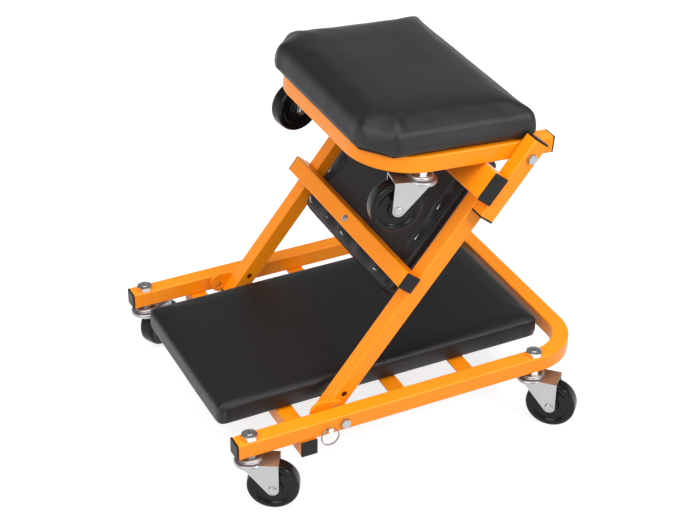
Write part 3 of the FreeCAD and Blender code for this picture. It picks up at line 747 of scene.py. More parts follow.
STRAIGHT_TUBES = {
    "base_stop_tube": ACROSS,
    "lower_cross_tube": ACROSS,
    "upper_cross_tube": ACROSS,
    "left_leg": ALONG,
    "right_leg": ALONG,
    "left_hinge_link": ALONG,
    "right_hinge_link": ALONG,
}
# Bent tubes, with the frame they lie in and the end of their box where they are open:
# 0 is low x, 1 is high x
BENT_TUBES = {"base_frame": (IDENTITY, 0), "seat_frame": (SEAT_FRAME, 1)}
PLATES = ["front_base_strap", "rear_base_strap", "seat_cross_strap", "left_lock_plate", "right_lock_plate"]
CAPS = ["base_tube_caps", "middle_tube_caps", "seat_rail_caps"]
SHORTEST_RUN = 20 * MM
PARALLEL = 0.999
SQUARE_ON = 0.99
AT_END = 0.2 * MM
# Areas of faces in square metres
SMALLEST_WALL = 2e-5
CAP_FACE = 4e-4
CAP_RIM = (5e-5, 1.4e-4)


def runs_along(axis):
    """Test for the long edges of a straight tube."""
    def chosen(edge):
        run = edge.verts[1].co - edge.verts[0].co
        return run.length > SHORTEST_RUN and abs(run.normalized().dot(axis)) > PARALLEL
    return chosen


def runs_around(place, end_x):
    """Test for the long edges of a bent tube, which leaves out its open ends and its holes."""
    back = place.inverted()
    along = place.to_3x3().col[0]

    def chosen(edge):
        for face in edge.link_faces:
            at_end = abs((back @ face.calc_center_median()).x - end_x) < AT_END
            if face.calc_area() < SMALLEST_WALL or (at_end and abs(face.normal.dot(along)) > SQUARE_ON):
                return False
        return True
    return chosen


def on_cap_face(edge):
    """Test for the edges round the visible face of a cap."""
    small, large = sorted(face.calc_area() for face in edge.link_faces)
    low, high = CAP_RIM
    return low < small < high and (large > CAP_FACE or large < high)


class CREEPER_OT_frame(Step, bpy.types.Operator):
    """Round the corners of the tubes and break the edges of the plates"""
    bl_idname = "creeper.frame"
    bl_label = "Frame tubes and plates"

    def make(self, sizes):
        for node, axis in STRAIGHT_TUBES.items():
            softened(node, sizes.tube_round, "orange_paint", 3, runs_along(axis))
        for node, (place, end) in BENT_TUBES.items():
            chosen = runs_around(place, extent(node, place)[end].x)
            softened(node, sizes.tube_round, "orange_paint", 3, chosen)
        for node in PLATES:
            softened(node, sizes.edge_round, "orange_paint")
        for node in CAPS:
            softened(node, sizes.cap_round, "cap_plastic", 3, on_cap_face)


# Casters

WASHER_HEIGHT = 2.2 * MM
CLEARANCE = 0.1 * MM
NUT_TURN = 0.4


def wheel_frame(name):
    """Frame of a caster's wheel, with local z along its axle."""
    joint = f"{name}_roll"
    return facing_matrix(joint_place(joint), JOINTS[joint]["axis"])


class CREEPER_OT_wheels(Step, bpy.types.Operator):
    """Turn the moulded wheels with their rims, recesses and hubs"""
    bl_idname = "creeper.wheels"
    bl_label = "Wheels"

    def make(self, sizes):
        for name in CASTERS:
            node = f"{name}_caster_wheel"
            place = wheel_frame(name)
            outer, _, hub = extent(node, place)[1]
            rim = sizes.wheel_width / 2
            web = rim - sizes.wheel_recess
            half = [
                (sizes.axle_bore, hub - 1.2 * MM),
                (sizes.axle_bore + 1.2 * MM, hub),
                (sizes.hub_radius - 1.5 * MM, hub),
                (sizes.hub_radius, hub - 1.5 * MM),
                (sizes.hub_radius + 0.8 * MM, web),
                (sizes.rim_inner - 3 * MM, web),
                (sizes.rim_inner, rim - 0.6 * MM),
                (sizes.rim_inner + 1.5 * MM, rim),
                (outer - sizes.wheel_round, rim),
                (outer - 0.3 * MM, rim - sizes.wheel_round),
            ]
            corners = half + [(outer, 0)] + [(radius, -height) for radius, height in half[::-1]]
            forge = Forge()
            forge.lathe(rounded_profile(corners, sizes.wheel_round), place, 72, closed=True)
            stand_in(node, f"{name}_wheel_turned", forge.mesh(node), "wheel_plastic")


class CREEPER_OT_forks(Step, bpy.types.Operator):
    """Finish the pressed forks and set their riveted axles"""
    bl_idname = "creeper.forks"
    bl_label = "Forks and axles"

    def make(self, sizes):
        for name in CASTERS:
            softened(f"{name}_caster_fork", sizes.edge_round, "zinc")
            node = f"{name}_caster_axle"
            place = wheel_frame(name)
            low, high = extent(node, place)
            head = high.x
            rise = sizes.rivet_rise
            half = [
                (0, high.z - 0.3 * MM),
                (head * 0.34, high.z - 0.3 * MM),
                (head * 0.42, high.z),
                (head * 0.72, high.z - 0.2 * MM),
                (head, high.z - rise * 0.6),
                (head, high.z - rise),
                (sizes.axle_bore, high.z - rise),
            ]
            profile = rounded_profile(half + [(r, low.z + high.z - z) for r, z in half[::-1]], 0.5 * MM, 3)
            forge = Forge()
            forge.lathe(profile, place, 40)
            stand_in(node, f"{name}_axle_riveted", forge.mesh(node), "zinc")


class CREEPER_OT_stems(Step, bpy.types.Operator):
    """Make the stems of the casters with their races, washers and nuts"""
    bl_idname = "creeper.stems"
    bl_label = "Caster stems"

    def make(self, sizes):
        kinds = {
            "studs": (self.stud, "zinc"),
            "nuts": (self.nut, "bright_steel"),
            "races": (self.race, "zinc"),
        }
        for section, ground in (("base", IDENTITY), ("seat", SEAT_FRAME)):
            self.rail = extent(f"{section}_frame", ground)[1].z
            for kind, (make, look) in kinds.items():
                node = f"{section}_caster_{kind}"
                forge = Forge()
                for low, high in islands(node, ground):
                    make(forge, footing(ground, low, high), low, high, sizes)
                stand_in(node, f"{section}_stem_{kind}", forge.mesh(node), look)

    def stud(self, forge, place, low, high, sizes):
        head = (high.x - low.x) / 2
        length = high.z - low.z
        corners = [
            (0, 0),
            (head * 0.7, 0),
            (head, 1.5 * MM),
            (head, sizes.stud_head),
            (sizes.stem, sizes.stud_head),
            (sizes.stem, length - 0.9 * MM),
            (sizes.stem - 0.9 * MM, length),
            (0, length),
        ]
        forge.lathe(rounded_profile(corners, 0.4 * MM, 2), place, 40)

    def nut(self, forge, place, low, high, sizes):
        """Washer, plain nut or, above the rail, lock nut with a collar."""
        place = place @ Matrix.Rotation(NUT_TURN, 4, "Z")
        height = high.z - low.z
        across = min(high.x - low.x, high.y - low.y)
        bore = sizes.stem + CLEARANCE
        if height < WASHER_HEIGHT:
            edge = across / 2 - 0.3 * MM
            ring = [(bore, 0), (edge, 0), (across / 2, height / 2), (edge, height), (bore, height)]
            forge.lathe(ring, place, closed=True)
        elif low.z > self.rail:
            hexed = height * sizes.nut_hex_share
            forge.hexagon(across, hexed, place, bore, True)
            collar = [
                (bore, hexed * 0.5),
                (across * 0.46, hexed * 0.5),
                (across * 0.46, hexed),
                (across * 0.42, height),
                (across * 0.34, height),
                (bore, height - 0.6 * MM),
            ]
            forge.lathe(rounded_profile(collar, 0.9 * MM, 3), place, closed=True)
        else:
            forge.hexagon(across, height, place, bore, True)

    def race(self, forge, place, low, high, sizes):
        outer = (high.x - low.x) / 2
        height = high.z - low.z
        corners = [
            (sizes.stem, 0),
            (outer - 1.2 * MM, 0),
            (outer, height * 0.2),
            (outer, height * 0.42),
            (outer - 2.2 * MM, height * 0.5),
            (outer - 2.6 * MM, height * 0.78),
            (outer - 5.0 * MM, height),
            (sizes.stem, height),
        ]
        forge.lathe(rounded_profile(corners, 0.7 * MM, 3), place, 56, closed=True)


# Pivots and locks

PIVOTS = ["fold_pivot", "seat_pivot"]
SPACERS = ["fold_pivot_spacers", "seat_pivot_washers"]
PIVOT_NUT_TURN = 0.3
PIVOT_BOLT_TURN = 0.25


class CREEPER_OT_pivots(Step, bpy.types.Operator):
    """Make the hexagon bolts and nuts of the two folds"""
    bl_idname = "creeper.pivots"
    bl_label = "Pivot bolts"

    def make(self, sizes):
        for pivot in PIVOTS:
            for kind, make in (("bolts", self.bolt), ("nuts", self.nut)):
                node = f"{pivot}_{kind}"
                forge = Forge()
                for low, high in islands(node):
                    make(forge, low, high, sizes)
                stand_in(node, f"{node}_turned", forge.mesh(node), "zinc")
        for node in SPACERS:
            softened(node, sizes.edge_round / 2, "zinc")

    def nut(self, forge, low, high, sizes):
        """Nut along y in the box of its solid."""
        foot = ((low.x + high.x) / 2, low.y, (low.z + high.z) / 2)
        place = facing_matrix(foot, ACROSS, PIVOT_NUT_TURN)
        across = min(high.x - low.x, high.z - low.z)
        forge.hexagon(across, high.y - low.y, place, sizes.bolt + CLEARANCE, True)

    def bolt(self, forge, low, high, sizes):
        """Bolt along y in the box of its solid, head outwards."""
        side = 1 if low.y + high.y > 0 else -1
        inner, outer = sorted((abs(low.y), abs(high.y)))
        seat = outer - sizes.bolt_head
        foot = ((low.x + high.x) / 2, side * seat, (low.z + high.z) / 2)
        place = facing_matrix(foot, ACROSS * side, PIVOT_BOLT_TURN)
        forge.hexagon(min(high.x - low.x, high.z - low.z), sizes.bolt_head, place)
        end = inner - seat
        radius = sizes.bolt
        chamfer = 0.8 * MM
        sunk = 0.2 * MM
        shank = [(0, end), (radius - chamfer, end), (radius, end + chamfer), (radius, sunk), (0, sunk)]
        forge.lathe(shank, place, 32)


class CREEPER_OT_locks(Step, bpy.types.Operator):
    """Make the lock pins and their split pull rings"""
    bl_idname = "creeper.locks"
    bl_label = "Lock pins and rings"

    def make(self, sizes):
        wire = sizes.ring_wire
        coils = 2
        steps = 144
        for side in ("left", "right"):
            softened(f"{side}_lock_pin", sizes.edge_round, "bright_steel")
            node = f"{side}_pin_ring"
            low, high = extent(node)
            middle = (low + high) / 2
            radius = (high.x - low.x) / 2 - wire
            path = []
            for i in range(steps + 1):
                turn = coils * FULL_TURN * i / steps + math.pi
                lift = wire * (2 * i / steps - 1)
                path.append(middle + Vector((radius * math.cos(turn), lift, radius * math.sin(turn))))
            forge = Forge()
            forge.tube(path, wire)
            stand_in(node, f"{side}_split_ring", forge.mesh(node), "spring_wire")


# Screws that hold the pads

SCREW_FACING = {
    "base_pad_screws": -UP,
    "middle_pad_screws": LEG_FRAME.to_3x3() @ UP,
    "seat_screws": -SEAT_UP,
}
SCREW_JITTER = 0.8
SCREW_SEED = 4


def screw_head_mesh(radius, rise):
    """Pan head with a cross recess, on local z."""
    rings = 12
    segments = 48
    arm = radius * 0.16
    reach = radius * 0.55
    depth = rise * 0.6
    rim = 0.55
    dome = 0.45
    loops = [[(radius * math.cos(t), radius * math.sin(t), 0) for t in turns(segments)]]
    for i in range(rings + 1):
        share = 1 - i / rings
        loop = []
        for turn in turns(segments):
            x = radius * share * math.cos(turn)
            y = radius * share * math.sin(turn)
            top = rise * (rim + dome * math.sqrt(max(0.0, 1 - share ** 4)))
            if min(abs(x), abs(y)) < arm and max(abs(x), abs(y)) < reach:
                top -= depth
            loop.append((x, y, top))
        loops.append(loop)
    return lofted("screw_head", loops)


class CREEPER_OT_screws(Step, bpy.types.Operator):
    """Set the cross-recessed screws that hold the pads on their frames"""
    bl_idname = "creeper.screws"
    bl_label = "Pad screws"

    def make(self, sizes):
        tree = repeat_tree("Heads on points", False)
        head = new_object("screw_head", screw_head_mesh(sizes.screw_head, sizes.screw_rise))
        for node, facing in SCREW_FACING.items():
            out = facing_matrix((0, 0, 0), facing)
            points = []
            for low, high in islands(node, out):
                seat = high.z - sizes.screw_rise
                points.append(out @ Vector(((low.x + high.x) / 2, (low.y + high.y) / 2, seat)))
            mesh = repeated_mesh(tree, points, [], Piece=head, Facing=facing, Jitter=SCREW_JITTER,
                                 Seed=SCREW_SEED, Finish=look_of("zinc"))
            stand_in(node, f"{node}_set", mesh, "zinc")
        remove(head)


# Pads: lines on a cover

HEM_STEP = 3 * MM
STAPLE_STEP = 6 * MM
STAPLE_LINE = 0.42
STAPLE_JITTER = 0.35
STAPLE_SEED = 11
TIGHTEST_CORNER = 2 * MM


def rectangle(length, width):
    half = width / 2
    return [(0, -half), (length, -half), (length, half), (0, half)]


def outline(corners, radius, inset=0.0, steps=8):
    """Convex outline moved in by an inset, with rounded corners; anticlockwise."""
    sides = []
    for here, after in zip(corners, corners[1:] + corners[:1]):
        ahead = (Vector(after) - Vector(here)).normalized()
        inward = Vector((-ahead.y, ahead.x))
        sides.append((Vector(here) + inward * inset, ahead, inward))
    bend = max(radius - inset, TIGHTEST_CORNER)
    points = []
    for (start, way, inward), (begin, ahead, _) in zip(sides[-1:] + sides[:-1], sides):
        across = way.cross(ahead)
        corner = start + way * ((begin - start).cross(ahead) / across)
        turn = math.atan2(across, way.dot(ahead))
        centre = corner - way * (bend * math.tan(turn / 2)) + inward * bend
        for i in range(steps + 1):
            spoke = -inward * bend
            spoke.rotate(Matrix.Rotation(turn * i / steps, 2))
            points.append(centre + spoke)
    return points


def spaced(points, pitch):
    """Closed outline walked in equal steps: each point, its inward direction and the length walked."""
    loop = [Vector(p) for p in points] + [Vector(points[0])]
    lengths = [0.0]
    for here, after in zip(loop, loop[1:]):
        lengths.append(lengths[-1] + (after - here).length)
    count = round(lengths[-1] / pitch)
    walked = []
    for target in np.linspace(0, lengths[-1], count, endpoint=False):
        k = int(np.searchsorted(lengths, target, side="right")) - 1
        ahead = (loop[k + 1] - loop[k]).normalized()
        walked.append((loop[k] + ahead * (target - lengths[k]), Vector((-ahead.y, ahead.x)), float(target)))
    return walked


def ridge(distance, width):
    return math.exp(-(distance / width) ** 2)


def slack(point, size, apart=0):
    """Smooth uneven field between -1 and 1 with features of a size; apart picks another such field."""
    return noise.noise((point + Vector((apart, 0, 0))) / size)


def near_corner(point, corners, reach):
    """How close a point stands to the nearest corner, from 0 to 1."""
    nearest = min(math.hypot(point.x - x, point.y - y) for x, y in corners)
    return max(0.0, 1 - nearest / reach)


# Pads: cover, hem, lining, welts and staples

def pressed_out(cover, place, sizes, swell):
    """Cloth under pressure, with the cover's hem held on the board and its movement capped."""
    scene = bpy.context.scene
    rest = np.array([v.co for v in cover.vertices])
    source = new_object("pad_cover", cover)
    held = source.vertex_groups.new(name="held")
    back = place.inverted()
    held.add([v.index for v in cover.vertices if (back @ v.co).z < sizes.held_height], 1.0, "REPLACE")
    cloth = source.modifiers.new("Cloth", "CLOTH")
    cloth.settings.vertex_group_mass = held.name
    cloth.settings.use_pressure = True
    cloth.settings.uniform_pressure_force = sizes.pressure
    cloth.settings.effector_weights.gravity = 0
    cloth.point_cache.frame_end = sizes.frames
    for step in range(1, sizes.frames + 1):
        scene.frame_set(step)
    moved = evaluated_mesh(source)
    scene.frame_set(1)
    remove(source)
    shift = np.array([v.co for v in moved.vertices]) - rest
    length = np.linalg.norm(shift, axis=1, keepdims=True) + 1e-9
    shift *= swell * np.tanh(length / swell) / length
    moved.vertices.foreach_set("co", (rest + shift).ravel())
    return moved


def pull_in(mesh, place, depth_at):
    """Move each point of a cover inwards by the depth of the creases and channels there."""
    back = place.inverted()
    moved = [v.co - v.normal * depth_at(back @ v.co, back.to_3x3() @ v.normal) for v in mesh.vertices]
    mesh.vertices.foreach_set("co", [c for point in moved for c in point])


def hem_mesh(corners, place, sizes, puff):
    """Cover folded under the board: a band that lies flat at its staples and rises between them."""
    walk = spaced(outline(corners, sizes.corner, sizes.hem_start), HEM_STEP)

    def loop(inset, height, wave, lift):
        points = []
        for point, inward, run in walk:
            at = point.to_3d()
            pull = math.cos(FULL_TURN * run / sizes.staple_pitch)
            free = puff(at) * (0.55 - 0.45 * pull + 0.35 * slack(at, 23 * MM))
            edge = inset + wave * (slack(at, 31 * MM, 3) - 0.3 * pull)
            spot = point + inward * edge
            points.append((spot.x, spot.y, height - lift * max(free, 0)))
        return points
    deep = sizes.underside + 1.2 * MM
    rings = [
        loop(0, deep, 0, 0),
        loop(1.5 * MM, 0.9 * MM, 0, 0.5),
        loop(5 * MM, 0.45 * MM, 0, 1.0),
        loop(sizes.hem * 0.6, 0.4 * MM, 1 * MM, 1.0),
        loop(sizes.hem - 2 * MM, 0.5 * MM, 5 * MM, 0.8),
        loop(sizes.hem, 0.9 * MM, 5 * MM, 0.3),
        loop(sizes.hem - 1 * MM, deep, 5 * MM, 0),
    ]
    return lofted("hem", rings, place, closed=True)


def lining_mesh(corners, place, sizes):
    """Cloth over the board between the hems, with a slight sag."""
    start = sizes.hem_start + sizes.hem * 0.5
    reach = min(abs(y) for _, y in corners)
    rings = []
    for share in (0.0, 0.06, 0.25, 0.5, 0.75, 0.93):
        inset = start + share * reach * 0.85
        sag = 0.5 * MM * math.sin(math.pi * min(share * 2, 1) / 2)
        rings.append([(p.x, p.y, sizes.underside - 0.3 * MM - sag * (1 + slack(p.to_3d(), 60 * MM)))
                      for p in outline(corners, sizes.corner, inset)])
    top = [(x, y, sizes.underside + 0.8 * MM) for x, y, _ in rings[0]]
    return lofted("lining", [top] + rings, place)


def seam_mesh(cover, place, paths, wire):
    """Thin welts that follow paths laid on a cover."""
    skin = BVHTree.FromPolygons([v.co for v in cover.vertices], [p.vertices for p in cover.polygons])
    forge = Forge()
    for path in paths:
        forge.tube([skin.find_nearest(place @ Vector(point))[0] for point in path], wire, 8)
    return forge.mesh("seams")


def staple_mesh(length, wire):
    """Crown of a flat-wire staple whose ends dive into the cloth, along local x."""
    half = length / 2
    rise = [(-half, -wire), (-half, wire * 0.5), (-half + wire, wire)]
    path = rise + [(-x, z) for x, z in rise[::-1]]
    section = [(-0.8, -0.4), (0.8, -0.4), (0.8, 0.4), (-0.8, 0.4)]
    rings = [[(x, wire * across, z + wire * up) for across, up in section] for x, z in path]
    return lofted("staple", rings)


@dataclass
class Edge:
    """Section of a pad's edge, from its foot at the board to its crown."""
    drawn_in: float
    belly: float
    side_drop: float
    shoulder_drop: float
    shoulder_inset: float
    crown_inset: float

    def rings(self, low, height, shrink):
        """Height and inset of each ring, smaller by what the foam will push out."""
        side = height - self.side_drop
        shoulder = height - self.shoulder_drop
        rings = [
            (low, self.drawn_in + shrink),
            (low + 3 * MM, self.drawn_in * 0.6 + shrink),
            (self.belly, shrink),
            (side, shrink + 0.3 * MM),
        ]
        steps = 5
        for i in range(1, steps + 1):
            turn = QUARTER_TURN * i / steps
            rise = side + (shoulder - shrink - side) * math.sin(turn)
            rings.append((rise, shrink + self.shoulder_inset * (1 - math.cos(turn))))
        rings.append(((shoulder + height) / 2 - shrink * 0.8, self.crown_inset * 0.5))
        rings.append((height - shrink, self.crown_inset))
        return rings


FLAT_EDGE = Edge(drawn_in=4 * MM, belly=12 * MM, side_drop=8 * MM, shoulder_drop=1 * MM,
                 shoulder_inset=5 * MM, crown_inset=60 * MM)
SEAT_EDGE = Edge(drawn_in=3 * MM, belly=10 * MM, side_drop=27 * MM, shoulder_drop=4.5 * MM,
                 shoulder_inset=15 * MM, crown_inset=72 * MM)


@dataclass
class Pad:
    """Where a pad lies, its outline in the plane of its board, and how its cover swells and creases."""
    node: str
    board: str
    body: str
    place: Matrix
    corners: list
    height: float
    edge: Edge
    swell: float
    shrink: float
    ease: int
    depth_at: Callable
    puff: Callable
    seams: tuple = ()

    def make(self, sizes, tree, staple):
        name = f"{self.node}_cushion"
        cover = self.cover(sizes)
        hem = hem_mesh(self.corners, self.place, sizes, self.puff)
        welts = seam_mesh(cover, self.place, self.seams, sizes.seam)
        lining = lining_mesh(self.corners, self.place, sizes)
        lined = len(cover.polygons) + len(hem.polygons) + len(welts.polygons)
        mesh = join_meshes(name, [cover, hem, welts, lining])
        piece = add_piece(name, mesh, self.body, "black_vinyl", (self.node, self.board))
        mesh.materials.append(look_of("lining"))
        for face in mesh.polygons[lined:]:
            face.material_index = 1
        mesh = self.staples(sizes, tree, staple)
        add_piece(f"{name}_staples", mesh, self.body, "bright_steel")

    def cover(self, sizes):
        """Skin of even mesh, pushed out by its foam over a board that stays, then eased and creased."""
        loops = []
        for height, inset in self.edge.rings(sizes.underside, self.height, self.shrink):
            loops.append([(p.x, p.y, height) for p in outline(self.corners, sizes.corner, inset)])
        cover = lofted("pad_cover", loops, self.place)
        cover = modified(cover, "REMESH", mode="VOXEL", voxel_size=sizes.voxel)
        cover = pressed_out(cover, self.place, sizes, self.swell)
        cover = modified(cover, "SMOOTH", factor=0.5, iterations=self.ease)
        cover = modified(cover, "SUBSURF", levels=1, render_levels=1)
        pull_in(cover, self.place, self.depth_at)
        return cover

    def staples(self, sizes, tree, staple):
        """Staples along the hem, on the side away from the foam."""
        line = outline(self.corners, sizes.corner, sizes.hem_start + sizes.hem * STAPLE_LINE)
        points = []
        for spot, _, _ in spaced(line, STAPLE_STEP):
            rise = 0.4 * self.puff(spot.to_3d())
            points.append(self.place @ Vector((spot.x, spot.y, 0.3 * MM - rise)))
        edges = [(i, (i + 1) % len(points)) for i in range(len(points))]
        down = self.place.to_3x3() @ -UP
        return repeated_mesh(tree, points, edges, Piece=staple, Facing=down, Pitch=sizes.staple_pitch,
                             Jitter=STAPLE_JITTER, Seed=STAPLE_SEED, Finish=look_of("bright_steel"))


# Pads: the three of them

def no_puff(point):
    return 0.0


def lying_pad(node, body, sizes, box, height, place, puff):
    """Flat pad with crisp edges, envelope folds at its corners and faint hollows."""
    low, high = box
    corners = rectangle(high.x - low.x, high.y - low.y)
    fold = 9 * MM
    bulge = fold + 9 * MM
    lean = 0.12
    end_band = 8 * MM
    foot = 5 * MM

    def depth_at(point, normal):
        side = 1 - abs(normal.z)
        depth = 0.35 * MM * slack(point, 70 * MM)
        for x, y in corners:
            if abs(point.y - y) < end_band and point.z > foot:
                along = abs(point.x - x)
                leaning = (point.z - height / 2) * lean
                depth += 1.5 * MM * ridge(along - fold - leaning, 2.4 * MM) * side
                depth -= 0.8 * MM * ridge(along - bulge, 7 * MM) * side
        at_corner = near_corner(point, corners, 40 * MM)
        depth += 0.5 * MM * slack(point, 26 * MM, 5) * side * (0.4 + at_corner)
        return depth
    swell = sizes.flat_swell
    return Pad(node, f"{node}_board", body, place, corners, height, FLAT_EDGE, swell, shrink=swell * 0.5,
               ease=1, depth_at=depth_at, puff=puff)


class CREEPER_OT_pads(Step, bpy.types.Operator):
    """Make the three upholstered pads with their folded hems and staples"""
    bl_idname = "creeper.pads"
    bl_label = "Pads"
    group = "creeper_pads"

    def make(self, sizes):
        tree = repeat_tree("Pieces along a path", True)
        staple = new_object("staple", staple_mesh(sizes.staple, sizes.staple_wire))
        for pad in (self.base_pad(sizes), self.middle_pad(sizes), self.seat_pad(sizes)):
            pad.make(sizes, tree, staple)
        remove(staple)

    def base_pad(self, sizes):
        low, high = extent("base_pad")
        low.x -= sizes.open_let_out
        high.x += sizes.closed_let_out
        board = extent("base_pad_board")[0].z
        place = Matrix.Translation((low.x, 0, board))
        return lying_pad("base_pad", "base", sizes, (low, high), high.z - board, place, no_puff)

    def middle_pad(self, sizes):
        """Pad between the legs; its board faces away from the base, so its local z is turned over."""
        low, high = extent("middle_pad", LEG_FRAME)
        low.x -= sizes.lower_let_out
        under = extent("middle_pad_board", LEG_FRAME)[1].z
        place = LEG_FRAME @ Matrix.Translation((low.x, 0, under)) @ Matrix.Rotation(math.pi, 4, "X")
        tubes = []
        for node in ("lower_cross_tube", "upper_cross_tube"):
            near, far = extent(node, LEG_FRAME)
            tubes.append((near.x - low.x, far.x - low.x))
        pressed = 2 * MM
        rising = 14 * MM

        def puff(point):
            """Rise of the hem, which the cross tubes press flat."""
            clear = min(max(near - point.x, point.x - far) for near, far in tubes)
            return sizes.hem_puff * min(max((clear - pressed) / rising, 0), 1)
        return lying_pad("middle_pad", "middle", sizes, (low, high), under - low.z, place, puff)

    def seat_pad(self, sizes):
        """Deeper pad with cut-off front corners and a soft crown along its middle."""
        low, high = extent("seat_pad", SEAT_FRAME)
        board = extent("seat_board", SEAT_FRAME)[0].z
        height = high.z - board + sizes.loft
        front = low.x - sizes.overhang
        length = high.x + sizes.rear_let_out - front
        half = (high.y - low.y) / 2
        run = sizes.corner_run
        rise = sizes.corner_rise
        near_side = [(0, -half + rise), (run, -half), (length, -half)]
        corners = near_side + [(x, -y) for x, y in near_side[::-1]]
        slope = math.hypot(run, rise)

        def depth_at(point, normal):
            side = 1 - abs(normal.z)
            depth = 0.5 * MM * slack(point, 80 * MM)
            depth += 0.6 * MM * slack(point, 30 * MM, 7) * side
            across = abs(point.y)
            for x, y in ((0, half - rise), (run, half)):
                off = math.hypot(point.x - x, across - y)
                depth += 1.4 * MM * ridge(off - 5 * MM, 3.2 * MM) * side * ridge(off, 26 * MM)
                depth -= 0.9 * MM * ridge(off - 15 * MM, 8 * MM) * side
            cut = (point.x * rise - (across - half + rise) * run) / slope
            if point.z > height * 0.5 and cut < 24 * MM:
                depth += 0.5 * MM * ridge(cut - 15 * MM, 3 * MM) * (1 - side)
            return depth
        place = SEAT_FRAME @ Matrix.Translation((front, 0, board))
        seams = [self.seat_seam(side, run, length, half, height) for side in (-1, 1)]
        return Pad("seat_pad", "seat_board", "seat", place, corners, height, SEAT_EDGE, sizes.swell,
                   shrink=sizes.swell * 0.3, ease=10, depth_at=depth_at, puff=no_puff, seams=seams)

    def seat_seam(self, side, run, length, half, height):
        """Seam up the end of a cut-off corner and back along the top of the pad's side."""
        bend = 14 * MM
        foot = 3 * MM
        top = height - 18 * MM
        bend_steps = 12
        back_points = 40
        path = []
        for i in range(bend_steps + 1):
            turn = QUARTER_TURN * i / bend_steps
            rise = foot + (top - foot) * math.sin(turn)
            path.append((run + 2 * MM + bend * (1 - math.cos(turn)), side * half, rise))
        for x in np.linspace(run + bend + 6 * MM, length - 9 * MM, back_points):
            path.append((x, side * (half - 2 * MM), top))
        return path


# Stage

# Softboxes: azimuth and elevation in degrees, distance, width and height, and the setting of their power
LAMPS = {
    "front_softbox": (-58, 42, 2.6, 1.8, 1.4, "front_light"),
    "top_softbox": (40, 80, 2.4, 1.8, 1.8, "top_light"),
    "side_softbox": (27, 32, 2.6, 1.0, 0.45, "side_light"),
}
FLOOR_REACH = 6.0
SENSOR_WIDTH = 36
# Sines of the heights where the pale backdrop ends and where the dim room over it begins
BACKDROP_TOP = 0.16
ROOM_FROM = 0.36
WHITE = (1, 1, 1, 1)


def aimed(settings, azimuth, elevation, distance):
    """Frame that looks at the camera's target; azimuth 0 stands in front of the left side."""
    a = math.radians(azimuth)
    e = math.radians(elevation)
    back = Vector((math.sin(a) * math.cos(e), -math.cos(a) * math.cos(e), math.sin(e)))
    return facing_matrix(Vector(settings.target) + back * distance, back)


def seen_ray(look):
    """One for rays of the camera and of mirrors and glass, zero for the rest."""
    camera = look.node("ShaderNodeLightPath", output="Is Camera Ray")
    total = camera + camera.beside("Is Glossy Ray") + camera.beside("Is Transmission Ray")
    return look.node("ShaderNodeClamp", {}, {"Value": total})


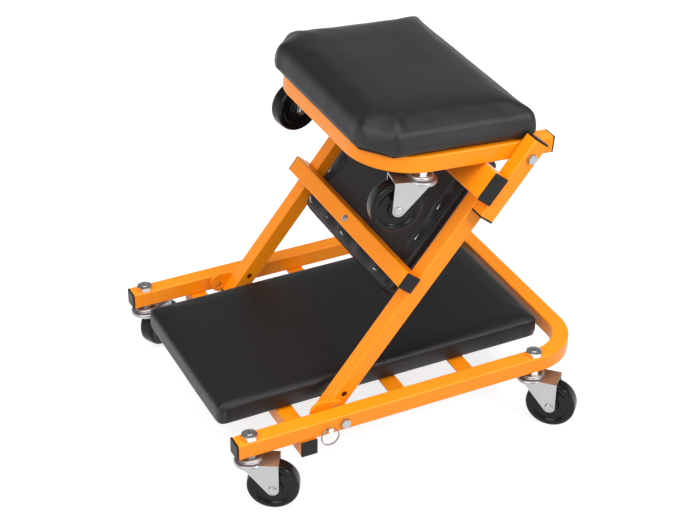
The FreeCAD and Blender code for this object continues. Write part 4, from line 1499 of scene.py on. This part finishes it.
class CREEPER_OT_stage(Step, bpy.types.Operator):
    """Set the floor, the light and the camera"""
    bl_idname = "creeper.stage"
    bl_label = "Stage"
    group = "creeper_stage"

    def make(self, settings):
        scene = bpy.context.scene
        scene.view_settings.view_transform = "Standard"
        self.floor(settings)
        self.sky(scene, settings)
        self.camera(scene, settings)
        self.lamps(settings)

    def floor(self, settings):
        """Floor that takes the object's shadow and shows pale to the camera and to mirrors."""
        look = new_look("pale_floor")
        ground = look.tone(look.noise(40.0, 2.0), settings.floor, 0.99, 1)
        matt = look.node("ShaderNodeBsdfDiffuse", {}, {"Color": ground})
        strength = seen_ray(look) * settings.floor_glow
        glow = look.node("ShaderNodeEmission", {}, {"Color": WHITE, "Strength": strength})
        both = look.node("ShaderNodeAddShader", {}, {0: matt, 1: glow})
        look.node("ShaderNodeOutputMaterial", {}, {"Surface": both})
        corners = [(-1, -1), (1, -1), (1, 1), (-1, 1)]
        mesh = bpy.data.meshes.new("floor")
        mesh.from_pydata([(x * FLOOR_REACH, y * FLOOR_REACH, 0) for x, y in corners], [], [(0, 1, 2, 3)])
        mesh.materials.append(look.owner)
        new_object("floor", mesh)

    def sky(self, scene, settings):
        """Even light all round, which the camera and mirrors see as a pale backdrop under a dim room."""
        scene.world = bpy.data.worlds.new("studio")
        look = Look(scene.world)
        way = look.node("ShaderNodeTexCoord", output="Generated")
        rise = look.node("ShaderNodeSeparateXYZ", {}, {"Vector": way}, "Z")
        shown = 1 - look.ramp(rise, BACKDROP_TOP, ROOM_FROM) * (1 - settings.ceiling)
        strength = settings.ambient + seen_ray(look) * (shown - settings.ambient)
        glow = look.node("ShaderNodeBackground", {}, {"Color": WHITE, "Strength": strength})
        look.node("ShaderNodeOutputWorld", {}, {"Surface": glow})

    def camera(self, scene, settings):
        lens = bpy.data.cameras.new("camera")
        lens.sensor_width = SENSOR_WIDTH
        lens.lens = settings.lens
        lens.shift_x, lens.shift_y = settings.shift
        scene.camera = new_object("camera", lens)
        place = aimed(settings, settings.azimuth, settings.elevation, settings.distance)
        scene.camera.matrix_world = place @ Matrix.Rotation(math.radians(settings.roll), 4, "Z")

    def lamps(self, settings):
        """Softboxes that look at the camera's target."""
        for name, (azimuth, elevation, distance, width, height, power) in LAMPS.items():
            lamp = bpy.data.lights.new(name, "AREA")
            lamp.shape = "RECTANGLE"
            lamp.size = width
            lamp.size_y = height
            lamp.energy = getattr(settings, power)
            new_object(name, lamp).matrix_world = aimed(settings, azimuth, elevation, distance)


class CREEPER_PT_panel(bpy.types.Panel):
    """Lists the steps that dress the creeper, with their sizes and colours"""
    bl_idname = "CREEPER_PT_panel"
    bl_label = "Folding creeper"
    bl_space_type = "VIEW_3D"
    bl_region_type = "UI"
    bl_category = "Creeper"

    def draw(self, context):
        for operator in OPERATORS:
            self.layout.operator(operator.bl_idname)
        for name, group in GROUPS.items():
            box = self.layout.box()
            box.label(text=group.__doc__)
            for size in group.__annotations__:
                box.prop(getattr(context.scene, name), size)


OPERATORS = [
    CREEPER_OT_stage,
    CREEPER_OT_frame,
    CREEPER_OT_wheels,
    CREEPER_OT_forks,
    CREEPER_OT_stems,
    CREEPER_OT_pivots,
    CREEPER_OT_locks,
    CREEPER_OT_screws,
    CREEPER_OT_pads,
]


def register():
    for group in GROUPS.values():
        bpy.utils.register_class(group)
    for name, group in GROUPS.items():
        setattr(bpy.types.Scene, name, PointerProperty(type=group))
    for each in OPERATORS + [CREEPER_PT_panel]:
        bpy.utils.register_class(each)


def unregister():
    for each in [CREEPER_PT_panel] + OPERATORS[::-1]:
        bpy.utils.unregister_class(each)
    for name, group in GROUPS.items():
        delattr(bpy.types.Scene, name)
        bpy.utils.unregister_class(group)


def main():
    register()
    for operator in OPERATORS:
        group, step = operator.bl_idname.split(".")
        getattr(getattr(bpy.ops, group), step)()


if __name__ == "__main__":
    main()
